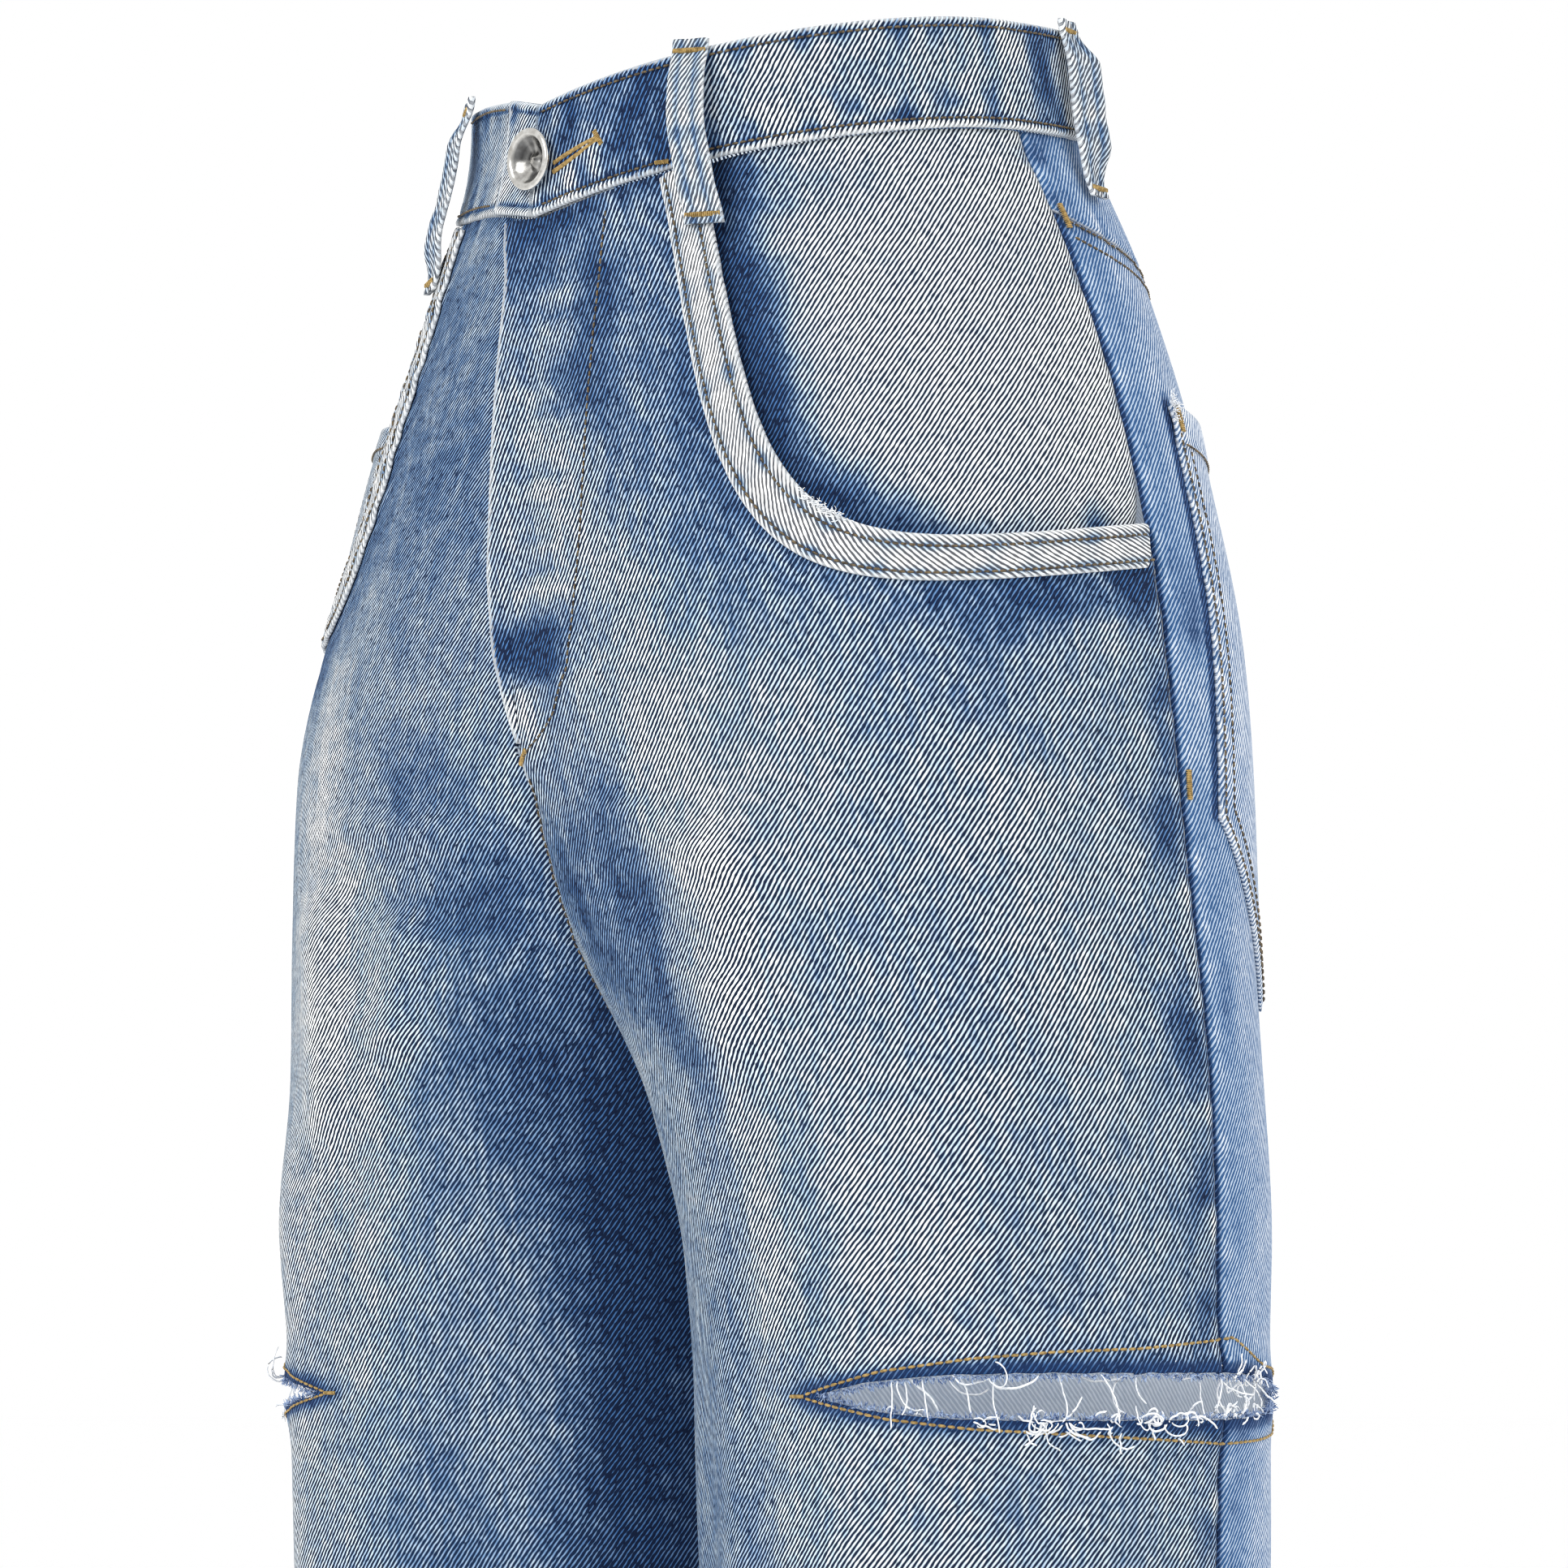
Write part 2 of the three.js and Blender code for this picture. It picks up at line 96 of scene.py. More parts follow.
# Folds: half (0 is both), start and end (angle, height), width in degrees for one that runs down
# the leg or in millimetres for one that runs across, and how far it stands out.
FOLDS = (
    (0, (-74, -262), (-90, -366), 9, 5),
    (0, (-66, -330), (-73, -560), 12, 4),
    (0, (-122, -380), (-112, -900), 14, -5),
    (0, (-28, -520), (-20, -LENGTH), 15, 5),
    (0, (-68, -700), (-62, -LENGTH), 13, 5),
    (0, (60, -480), (66, -LENGTH), 15, 6),
    (0, (112, -560), (118, -LENGTH), 15, 5),
    (0, (40, -330), (120, -372), 12, -5),
)
CREASES = (
    (-1, (-50, 30), (-48, -250), 24, -6),
    (-1, (-66, -262), (-116, -279), 6, 2.2),
    (-1, (-70, -286), (-118, -306), 7, -2.0),
    (-1, (-72, -322), (-112, -346), 8, 1.8),
    (-1, (-93, -290), (-98, -352), 5, 2.2),
    (-1, (-80, -276), (-92, -410), 6, -2.0),
    (1, (-98, -262), (-70, -300), 7, 1.8),
    (1, (-104, -285), (-76, -330), 7, -1.8),
    (1, (-60, -300), (-64, -430), 7, -1.5),
    (1, (-96, -380), (-92, -600), 6, -2.0),
    (0, (50, -352), (150, -398), 8, 2.2),
    (0, (60, -400), (150, -430), 9, -2.2),
    (0, (-110, -634), (-30, -652), 12, 2.2),
    (0, (-100, -676), (-18, -690), 13, -2.2),
    (0, (40, -612), (130, -636), 10, -2.8),
    (0, (50, -660), (140, -650), 9, 2.4),
    (0, (-128, -968), (-30, -990), 10, 2.0),
    (0, (20, -985), (140, -1004), 11, -2.0),
    (0, (-98, -600), (-103, -LENGTH), 9, -5.0),
    (0, (-46, -640), (-40, -LENGTH), 8, -4.0),
    (0, (4, -700), (8, -LENGTH), 9, -4.5),
    (0, (38, -620), (32, -LENGTH), 8, 3.5),
    (0, (90, -560), (88, -LENGTH), 10, -4.5),
    (0, (150, -600), (146, -LENGTH), 10, 4.0),
    (0, (-150, -560), (-142, -LENGTH), 9, 3.5),
    (1, (-40, -300), (-52, -560), 9, 2.6),
    (1, (-20, -230), (-6, -420), 10, -2.0),
    (-1, (-30, -250), (-24, -440), 10, 2.2),
)
RIGHT_SHIFT = (3.0, -16.0)


def clamp(value):
    """The value kept between 0 and 1."""
    return np.clip(value, 0.0, 1.0)


def ease(value):
    """A smooth step from 0 to 1."""
    t = clamp(value)
    return t * t * (3 - 2 * t)


def lerp(a, b, t):
    """The value between a and b at the share t."""
    return a + (b - a) * t


def section_curve(column):
    """Cubic through one column of SECTIONS; its tangent at a knot is the harmonic mean of the slopes
    beside it."""
    z, y = SECTIONS[:, 0], SECTIONS[:, column]
    slope = np.diff(y) / np.diff(z)
    below, above = slope[:-1], slope[1:]
    total = np.where(below + above == 0, 1, below + above)
    inner = np.where(below * above <= 0, 0, 2 * below * above / total)
    tangent = np.concatenate([slope[:1], inner, slope[-1:]])

    def value(height):
        i = np.clip(np.searchsorted(z, height) - 1, 0, len(z) - 2)
        step = z[i + 1] - z[i]
        t = clamp((height - z[i]) / step)
        rise = t * t * (3 - 2 * t)
        bend = tangent[i] * (t - 1) ** 2 * t + tangent[i + 1] * (t - 1) * t * t
        return y[i] * (1 - rise) + y[i + 1] * rise + step * bend

    return value


side_at, centre_at, front_at, back_at, round_at = (section_curve(k) for k in range(1, 6))


def folds(half, angle, z):
    """Sum of soft ridges and troughs, each a bell across its line that eases in and out along it."""
    right = half < 0
    a, height = angle - RIGHT_SHIFT[0] * right, z - RIGHT_SHIFT[1] * right
    out = np.zeros(np.broadcast(angle, z).shape)
    for side, (a0, z0), (a1, z1), width, depth in FOLDS + CREASES:
        at = (a, height) if side == 0 else (angle, z)
        if abs(z0 - z1) < abs(a0 - a1):
            t = (at[0] - a0) / (a1 - a0)
            across = (at[1] - lerp(z0, z1, t)) / width
            closing = ease(3 * t) * ease(3 - 3 * t)
        else:
            t = clamp((z0 - at[1]) / (z0 - z1))
            across = (at[0] - lerp(a0, a1, t)) / width
            closing = ease(2 * t) if z1 <= -LENGTH else ease(2 - np.abs(4 * t - 2))
        push = depth * closing * np.exp(-across * across)
        out += push if side == 0 else np.where(half == side, push, 0)
    # a slow unevenness, as no cloth hangs as a perfect tube
    ripple = np.sin(angle * 0.09 + z * 0.017 + half) * np.sin(z * 0.031 - angle * 0.05)
    return out + 0.7 * ripple * ease((-200 - z) / 150)


def hip_drop(x, z):
    """The drop of the right side of the waist, which eases in from the centre and out over the hip."""
    return HIP_DROP * ease((-15 - x) / 60) * ease((z + 220) / 140)


def surface(half, angle, z, out=0.0):
    """A point of one half: a superellipse at each height, moved out by the folds and by out."""
    c, s = np.cos(np.radians(angle)), np.sin(np.radians(angle))
    power = 2 / round_at(z)
    far = out + folds(half, angle, z)
    width = side_at(z) - centre_at(z)
    depth = np.where(s < 0, front_at(z), back_at(z)) + far
    across = np.sign(c) * np.abs(c) ** power
    x = half * (centre_at(z) + (width + far) * across)
    y = depth * np.sign(s) * np.abs(s) ** power
    height = z - hip_drop(half * (centre_at(z) + width * across), z)
    return np.stack(np.broadcast_arrays(x, y, height), axis=-1)


def middle_angle(facing, z):
    """Where a half meets the middle plane, or the inseam below the crotch."""
    depth = front_at(z) if facing < 0 else back_at(z)
    reach = clamp(centre_at(z) / (side_at(z) - centre_at(z)))
    cut = 180 - np.degrees(np.arccos(reach ** (round_at(z) / 2)))
    seam = 180 - np.degrees(np.arcsin((SEAM_GAP / 2 / depth) ** (round_at(z) / 2)))
    return facing * np.minimum(cut, seam)


def side_angle(facing, z):
    """The side seam, which runs a little behind the side below the hip."""
    seam = 10 * ease((-200 - z) / 200) + facing * SEAM_GAP / 2
    depth = np.where(seam < 0, front_at(z), back_at(z))
    return np.sign(seam) * np.degrees(np.arcsin((np.abs(seam) / depth) ** (round_at(z) / 2)))


def band_top(angle):
    """Height of the waistband's top edge, lowest at the front and highest at the back."""
    reach = np.minimum(1, np.abs(angle) / 90) ** 1.5
    return BAND_TOP_SIDE + reach * np.where(angle < 0, -BAND_FRONT_DIP, BAND_BACK_RISE)


def angle_at_x(x, z, facing=FRONT):
    """The angle of the point of a half whose distance from the middle plane is x."""
    ratio = (x - centre_at(z)) / (side_at(z) - centre_at(z))
    c = np.sign(ratio) * np.abs(np.clip(ratio, -1, 1)) ** (round_at(z) / 2)
    return facing * np.degrees(np.arccos(c))


ARC_ANGLES = np.arange(-200.0, 201.0, 1.0)
ARC_STEP = 5.0
ARC_HEIGHTS = np.arange(-1075.0, 45.0, ARC_STEP)


def arc_table():
    """Length of cloth round one half from the crease line, by angle and height, as running sums of chords."""
    a, z = np.meshgrid(ARC_ANGLES, ARC_HEIGHTS, indexing="ij")
    c, s = np.cos(np.radians(a)), np.sin(np.radians(a))
    power = 2 / round_at(z)
    x = (side_at(z) - centre_at(z)) * np.sign(c) * np.abs(c) ** power
    y = np.where(s < 0, front_at(z), back_at(z)) * np.sign(s) * np.abs(s) ** power
    chord = np.hypot(np.diff(x, axis=0), np.diff(y, axis=0))
    total = np.vstack([np.zeros(len(ARC_HEIGHTS)), np.cumsum(chord, axis=0)])
    return total - total[np.searchsorted(ARC_ANGLES, -45.0)]


ARC = arc_table()


def arc(angle, z):
    """Bilinear reading of the arc table."""
    i = np.clip(angle - ARC_ANGLES[0], 0, len(ARC_ANGLES) - 1.001)
    j = np.clip((z - ARC_HEIGHTS[0]) / ARC_STEP, 0, len(ARC_HEIGHTS) - 1.001)
    i0, j0 = np.floor(i).astype(int), np.floor(j).astype(int)
    s, t = i - i0, j - j0
    low = lerp(ARC[i0, j0], ARC[i0 + 1, j0], s)
    high = lerp(ARC[i0, j0 + 1], ARC[i0 + 1, j0 + 1], s)
    return lerp(low, high, t)


def rope(along, seed=0.0):
    """Uneven waves along a seam, from three sines whose lengths don't fit each other."""
    return (
        np.sin(along / 1.75 + seed)
        + 0.8 * np.sin(along / 1.13 + 2.1 * seed + 1.0)
        + 0.6 * np.sin(along / 3.1 + 0.7 * seed)
    ) / 2.4


# angle and height that the scoop's superellipse is drawn round, beyond the side and waist seams
SCOOP_CENTRE = (14.0, 30.0)


def scoop_curve(grow, turn):
    """Edge of a front pocket: a superellipse of power 8 from the waistband to the side seam."""
    middle, high = SCOOP_CENTRE
    angle = middle - (SCOOP_ANGLE + middle + grow / ARC_PER_DEGREE) * np.cos(np.radians(turn)) ** 0.25
    rise = SCOOP_RISE * clamp(1 + angle / 50) ** 2
    z = high - (high - SCOOP_BOTTOM + grow) * np.sin(np.radians(turn)) ** 0.25 + rise
    return angle, z


def scoop_distance(angle, z, grow=0.0):
    """Millimetres outside the scoop's edge: the eighth root of the power sum, over its slope."""
    middle, high = SCOOP_CENTRE

    def level(a, height):
        p = clamp((middle - a) / (SCOOP_ANGLE + middle + grow / ARC_PER_DEGREE) / 3) * 3
        rise = SCOOP_RISE * clamp(1 + a / 50) ** 2
        q = clamp((high - height + rise) / (high - SCOOP_BOTTOM + grow) / 3) * 3
        return (p ** 8 + q ** 8) ** 0.125 - 1

    value = level(angle, z)
    across = (level(angle + 0.25, z) - level(angle - 0.25, z)) / (0.5 * ARC_PER_DEGREE)
    up = (level(angle, z + 0.5) - level(angle, z - 0.5)) / 1.0
    return value / np.maximum(np.hypot(across, up), 1e-4)


def slash_distance(angle, z):
    """Millimetres above or below the slash's edge, measured straight up or down."""
    t = (angle - SLASH_MIDDLE) / SLASH_REACH
    gape = SLASH_GAPE / 2 * (1 - np.minimum(np.abs(t), 1.4) ** 4)
    return np.abs(z - SLASH_HEIGHT) - gape


def fly_edge(z):
    """x of the edge of the left front's lap."""
    return np.interp(z, [-252, -240, -215, -188, -90, -66, 40], [0, -3.6, -9.6, -12, -12, -16, -16])


def yoke_height(angle):
    """Height of the seam below the yoke, deepest at the middle of the back."""
    return band_top(angle) - BAND_HEIGHT - lerp(YOKE_SIDE, YOKE_BACK, clamp(angle / 92) ** 0.8)


# ---- meshes ----

def quads(columns, rows, around=False):
    """Corner numbers of the cells of a grid of (columns + 1) x (rows + 1) points; around closes its
    rows, which then hold as many points as cells."""
    across = rows if around else rows + 1
    i, j = np.meshgrid(np.arange(columns), np.arange(rows), indexing="ij")
    a, b = (i * across + j).ravel(), ((i + 1) * across + j).ravel()
    nxt = (j + 1) % across if around else j + 1
    d, c = (i * across + nxt).ravel(), ((i + 1) * across + nxt).ravel()
    return np.stack([a, b, c, d], axis=1)


def triangles(cells):
    """Each four-cornered cell as two triangles."""
    return np.concatenate([cells[:, [0, 1, 2]], cells[:, [0, 2, 3]]])


def clip(points, faces, keep):
    """The part of a triangle mesh where keep is above zero; a side that crosses zero is cut there."""
    inside = keep > 0
    count = inside[faces].sum(axis=1)
    parts = []
    for number in (1, 2):
        f = faces[count == number]
        flag = inside[f] if number == 1 else ~inside[f]
        odd = flag.argmax(axis=1)
        parts.append(f[np.arange(len(f))[:, None], (odd[:, None] + np.arange(3)) % 3])
    one, two = parts
    sides = np.concatenate([one[:, [0, 1]], one[:, [0, 2]], two[:, [0, 1]], two[:, [0, 2]]])
    unique, back = np.unique(np.sort(sides, axis=1), axis=0, return_inverse=True)
    a, b = unique[:, 0], unique[:, 1]
    t = (keep[a] / (keep[a] - keep[b]))[:, None]
    added = points[a] * (1 - t) + points[b] * t
    number = len(points) + back.ravel()
    n, m = len(one), len(two)
    p, q, r, s = number[:n], number[n:2 * n], number[2 * n:2 * n + m], number[2 * n + m:]
    faces = np.concatenate([
        faces[count == 3],
        np.stack([one[:, 0], p, q], axis=1),
        np.stack([r, two[:, 1], two[:, 2]], axis=1),
        np.stack([r, two[:, 2], s], axis=1),
    ])
    points = np.concatenate([points, added])
    used, renumbered = np.unique(faces, return_inverse=True)
    return points[used], renumbered.reshape(faces.shape)


def outward(points, faces, axis):
    """Turns all faces if most of them look towards the axis (x, y) instead of away from it."""
    a, b, c = points[faces[:, 0]], points[faces[:, 1]], points[faces[:, 2]]
    normal = np.cross(b - a, c - a)
    arm = ((a + c) / 2)[:, :2] - axis
    return faces[:, ::-1] if (normal[:, :2] * arm).sum() < 0 else faces


def make_piece(name, points, faces, materials, nodes=(), values=None, wall=0.0):
    """A piece from points in millimetres and faces of one size, with per-point values; wall gives
    an open sheet its thickness, inwards."""
    mesh = bpy.data.meshes.new(name)
    faces = np.ascontiguousarray(faces, dtype=np.int32)
    mesh.vertices.add(len(points))
    mesh.vertices.foreach_set("co", (np.asarray(points) * MM).ravel())
    mesh.loops.add(faces.size)
    mesh.loops.foreach_set("vertex_index", faces.ravel())
    mesh.polygons.add(len(faces))
    mesh.polygons.foreach_set("loop_start", np.arange(0, faces.size, faces.shape[1], dtype=np.int32))
    mesh.polygons.foreach_set("use_smooth", np.full(len(faces), True))
    for key, data in (values or {}).items():
        data = np.asarray(data, dtype=np.float32)
        kind, field = ("FLOAT_VECTOR", "vector") if data.ndim == 2 else ("FLOAT", "value")
        mesh.attributes.new(key, kind, "POINT").data.foreach_set(field, data.ravel())
    mesh.update(calc_edges=True)
    mesh.validate()
    for finish in materials:
        mesh.materials.append(finish)
    piece = bpy.data.objects.new(name, mesh)
    bpy.context.scene.collection.objects.link(piece)
    if wall:
        shell = piece.modifiers.new("cloth wall", "SOLIDIFY")
        shell.thickness = wall
        shell.offset = -1
        shell.use_quality_normals = True
        shell.material_offset = 1
    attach(piece, "root")
    if nodes:
        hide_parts(*nodes)
    return piece


def swept(rings):
    """Closed mesh through rings of points [station, point, xyz], with an end cap on each end."""
    stations, count = rings.shape[:2]
    body = triangles(quads(stations - 1, count, around=True))
    centres = rings[[0, -1]].mean(axis=1)
    points = np.concatenate([rings.reshape(-1, 3), centres])
    k = np.arange(count)
    nxt = (k + 1) % count
    first, last = stations * count, stations * count + 1
    base = (stations - 1) * count
    caps = [
        np.stack([np.full(count, first), k, nxt], axis=1),
        np.stack([np.full(count, last), base + nxt, base + k], axis=1),
    ]
    faces = np.concatenate([body, *caps])
    a, b, c = points[faces[:, 0]], points[faces[:, 1]], points[faces[:, 2]]
    if (np.cross(a, b) * c).sum() < 0:
        faces = faces[:, ::-1]
    return points, faces


def tubes(paths, radius):
    """Thin square tubes along paths [thread, point, xyz]; the radius closes in towards each end."""
    sides = 4
    count, steps = paths.shape[:2]
    tangent = np.gradient(paths, axis=1)
    tangent /= np.linalg.norm(tangent, axis=2, keepdims=True) + 1e-9
    hint = np.where(np.abs(tangent[:, :, 2:]) < 0.8, [0.0, 0.0, 1.0], [1.0, 0.3, 0.0])
    side = np.cross(tangent, hint)
    side /= np.linalg.norm(side, axis=2, keepdims=True)
    up = np.cross(side, tangent)
    turn = np.radians(360 / sides * np.arange(sides))
    ends = np.ones(steps)
    ends[[0, -1]] = 0.35
    reach = (np.asarray(radius).reshape(-1, 1) * ends)[:, :, None, None]
    ring = np.cos(turn)[:, None] * side[:, :, None] + np.sin(turn)[:, None] * up[:, :, None]
    points = (paths[:, :, None] + reach * ring).reshape(-1, 3)
    wall = quads(steps - 1, sides, around=True)
    cap = np.arange(sides)
    one = np.concatenate([wall, [cap, (steps - 1) * sides + cap[::-1]]])
    faces = (one[None] + (np.arange(count) * steps * sides)[:, None, None]).reshape(-1, 4)
    return points, faces[:, ::-1]


# ---- stitches ----

# One stitch: four rings of four points along x, in units of its half length, half width and height.
STITCH_X = np.array([-1.0, -0.55, 0.55, 1.0])
STITCH_RING = np.array([[1, 0], [0, 1], [-1, 0], [0, -1]], dtype=float)
STITCH_SWELL = np.array([0.35, 1.0, 1.0, 0.35])
STITCH_RISE = np.array([-0.5, 0.35, 0.35, -0.5])


def stitch_mesh(place, along, across, up, length, width, height):
    """One small spindle of thread at each place, its ends sunk into the cloth."""
    rings = []
    for x, swell, rise in zip(STITCH_X, STITCH_SWELL, STITCH_RISE):
        for y, z in STITCH_RING:
            rings.append((x, y * swell, z * swell * 0.8 + rise))
    shape = np.array(rings)
    points = (
        place[:, None]
        + along[:, None] * (shape[:, 0] * length / 2)[None, :, None]
        + across[:, None] * (shape[:, 1] * width / 2)[None, :, None]
        + up[:, None] * (shape[:, 2] * height / 2)[None, :, None]
    )
    wall = quads(3, 4, around=True)
    one = np.concatenate([wall, [[0, 1, 2, 3], [15, 14, 13, 12]]])
    faces = (one[None] + (np.arange(len(place)) * 16)[:, None, None]).reshape(-1, 4)
    return points.reshape(-1, 3), faces


def frame_along(half, angle, z, out):
    """Unit vectors along a row, across it and off the cloth, by differences of the surface."""
    place = surface(half, angle, z, out)
    off = surface(half, angle, z, out + 1.0) - place
    up = off / np.linalg.norm(off, axis=1, keepdims=True)
    along = np.gradient(place, axis=0)
    along /= np.linalg.norm(along, axis=1, keepdims=True) + 1e-9
    across = np.cross(up, along)
    across /= np.linalg.norm(across, axis=1, keepdims=True)
    return place, along, across, np.cross(along, across)


class Thread:
    """Gathers rows and bartacks of one thread until they are made into one piece."""

    def __init__(self, pitch, length, width, height):
        self.sizes = (length, width, height)
        self.pitch = pitch
        self.parts = []

    def row(self, half, angle, z, out, skip=0.0):
        """Stitches one pitch apart along a path, from its length measured on the surface."""
        shape = np.shape(angle)
        half, angle, z, out = (np.broadcast_to(v, shape).astype(float) for v in (half, angle, z, out))
        place = surface(half, angle, z, out)
        length = np.concatenate([[0], np.cumsum(np.linalg.norm(np.diff(place, axis=0), axis=1))])
        at = np.arange(self.pitch / 2 + skip, length[-1] - skip, self.pitch)
        picked = [np.interp(at, length, v) for v in (half, angle, z, out)]
        picked[0] = np.where(picked[0] < 0, RIGHT, LEFT)
        self.parts.append((frame_along(*picked), self.sizes))

    def bartack(self, half, angle, z, out, wide, tall, lean=0.0):
        """A tight bar of short stitches across its length; lean turns it, in degrees from upright."""
        count = max(6, int(max(wide, tall) / 0.55))
        t = np.linspace(-0.5, 0.5, count) * max(wide, tall)
        turn = math.radians(lean if tall >= wide else lean + 90)
        angles = angle + t * math.sin(turn) / BAR_PER_DEGREE
        heights = z + t * math.cos(turn)
        place, along, across, up = frame_along(np.full(count, half), angles, heights, np.full(count, out))
        sizes = (min(wide, tall), 0.8, self.sizes[2] * 1.5)
        self.parts.append(((place, across, -along, up), sizes))

    def make(self, name, material):
        """All that was gathered, as one piece."""
        points, faces, start = [], [], 0
        for (place, along, across, up), sizes in self.parts:
            p, f = stitch_mesh(place, along, across, up, *sizes)
            points.append(p)
            faces.append(f + start)
            start += len(p)
        return make_piece(name, np.concatenate(points), np.concatenate(faces), [material])


# ---- materials ----

def linear(code):
    """An sRGB hex value as a linear colour."""
    channels = [int(code[i:i + 2], 16) / 255 for i in (0, 2, 4)]
    return tuple(c / 12.92 if c <= 0.04045 else ((c + 0.055) / 1.055) ** 2.4 for c in channels) + (1.0,)


def add_node(tree, kind, inputs=None, **settings):
    """Adds a node; inputs by name or number hold values, or sockets to link from."""
    node = tree.nodes.new(kind)
    for key, value in settings.items():
        setattr(node, key, value)
    for key, value in (inputs or {}).items():
        if isinstance(value, bpy.types.NodeSocket):
            tree.links.new(value, node.inputs[key])
        else:
            node.inputs[key].default_value = value
    return node


def blank_material(name):
    """A new material and its empty node tree."""
    material = bpy.data.materials.new(name)
    material.use_nodes = True
    material.node_tree.nodes.clear()
    return material, material.node_tree


def ramp(tree, value, stops):
    """A colour ramp through stops of position and sRGB hex value."""
    node = add_node(tree, "ShaderNodeValToRGB", {"Fac": value})
    elements = node.color_ramp.elements
    while len(elements) < len(stops):
        elements.new(0.5)
    for element, (position, code) in zip(elements, stops):
        element.position = position
        element.color = linear(code)
    return node.outputs["Color"]


def mix(tree, factor, a, b, **settings):
    """A mix of two colours, each a socket or an sRGB hex value."""
    node = add_node(tree, "ShaderNodeMix", {"Factor": factor}, data_type="RGBA", **settings)
    for socket, colour in zip([one for one in node.inputs if one.type == "RGBA"], (a, b)):
        if isinstance(colour, str):
            socket.default_value = linear(colour)
        else:
            tree.links.new(colour, socket)
    return node.outputs[2]


def smooth_range(tree, value, low, high):
    """0 at low, rising smoothly to 1 at high."""
    return add_node(
        tree, "ShaderNodeMapRange", {"Value": value, "From Min": low, "From Max": high},
        interpolation_type="SMOOTHSTEP",
    ).outputs["Result"]


def denim(name, warp, weft, pitch, contrast, mottle, slope):
    """Cotton twill, indigo warp over an undyed weft, stone-washed: a diagonal rib of dashes whose
    blue is worn to white in patches, and darkened with painted shade in creases, seams and hollows.
    Warp and weft are ramps from unworn to worn, mottle is how blotchy the washing is, and slope is
    the rib's, in degrees. The real rib is about 1 mm and is drawn at pitch, as coarse as it needs to show."""
    material, tree = blank_material(name)

    def maths(operation, a, b=0.0, clamped=False):
        node = add_node(tree, "ShaderNodeMath", {0: a, 1: b}, operation=operation, use_clamp=clamped)
        return node.outputs[0]

    def noise(vector, scale, detail, rough=0.55):
        node = add_node(
            tree, "ShaderNodeTexNoise",
            {"Vector": vector, "Scale": scale, "Detail": detail, "Roughness": rough},
            noise_dimensions="2D",
        )
        return node.outputs["Fac"]

    def stretched(vector, x, y):
        node = add_node(tree, "ShaderNodeVectorMath", {0: vector, 1: (x, y, 1.0)}, operation="MULTIPLY")
        return node.outputs["Vector"]

    cloth = add_node(tree, "ShaderNodeAttribute", attribute_name="cloth_mm").outputs["Vector"]
    fade_and_shade = add_node(tree, "ShaderNodeAttribute", attribute_name="fade_and_shade").outputs["Fac"]
    edge = add_node(tree, "ShaderNodeAttribute", attribute_name="edge_mm").outputs["Fac"]
    raw = add_node(tree, "ShaderNodeAttribute", attribute_name="raw_mm").outputs["Fac"]

    # clouds of stone washing 20 mm and 6 mm across, and slubs along the warp 1.5 mm wide
    clouds = maths("MULTIPLY_ADD", noise(cloth, 1 / 20, 3.0), 0.3 * mottle)
    clouds.node.inputs[2].default_value = -0.15 * mottle
    specks = maths("MULTIPLY_ADD", noise(cloth, 1 / 6, 3.0, 0.65), 0.36 * mottle)
    specks.node.inputs[2].default_value = -0.18 * mottle
    slubs = maths("MULTIPLY_ADD", noise(stretched(cloth, 1 / 1.5, 1 / 28), 1.0, 2.0), 0.3 * mottle)
    slubs.node.inputs[2].default_value = -0.15 * mottle
    # the per-point values bring both wear and painted shade into this blend with the clouds, specks and slubs
    wash_and_shade = maths("ADD", maths("ADD", fade_and_shade, clouds), maths("ADD", specks, slubs), clamped=True)

    # the rib rises to the right
    split = add_node(tree, "ShaderNodeSeparateXYZ", {0: cloth})
    u, v = split.outputs[0], split.outputs[1]
    rise = math.radians(slope)
    sine, cosine = math.sin(rise), math.cos(rise)
    across = maths("SUBTRACT", maths("MULTIPLY", u, sine), maths("MULTIPLY", v, cosine))
    along = maths("ADD", maths("MULTIPLY", u, cosine), maths("MULTIPLY", v, sine))
    drift = maths("MULTIPLY", noise(cloth, 1 / 24, 2.0), 0.7)
    phase = maths("ADD", maths("DIVIDE", across, pitch), drift)
    wave = maths("SINE", maths("MULTIPLY", phase, 2 * math.pi))
    # dashes of thread 2.6 mm long and 0.8 mm wide
    thread = add_node(
        tree, "ShaderNodeCombineXYZ", {0: maths("DIVIDE", along, 2.6), 1: maths("DIVIDE", across, 0.8)})
    dash = maths("SUBTRACT", noise(thread.outputs[0], 1.0, 1.0), 0.5)
    rib = maths("ADD", wave, maths("MULTIPLY", dash, 2.2))
    lift = maths("MULTIPLY", maths("SUBTRACT", wash_and_shade, 0.5), 0.9)
    share = smooth_range(tree, maths("ADD", rib, lift), 0.0, 0.42)
    share = maths("ADD", maths("MULTIPLY", maths("SUBTRACT", share, 0.5), contrast), 0.5)

    colour = mix(tree, share, ramp(tree, wash_and_shade, warp), ramp(tree, wash_and_shade, weft))
    # turned edges rubbed to the white core, unevenly
    rubbed = smooth_range(tree, maths("ADD", edge, maths("MULTIPLY", dash, 3.0)), 1.9, 0.5)
    colour = mix(tree, maths("MULTIPLY", rubbed, 0.62), colour, "d3d7da")
    # unwashed blue left at the raw cut
    fresh = smooth_range(tree, maths("ADD", raw, maths("MULTIPLY", dash, 2.5)), 4.0, 2.6)
    colour = mix(tree, maths("MULTIPLY", fresh, 0.5), colour, "17315c")

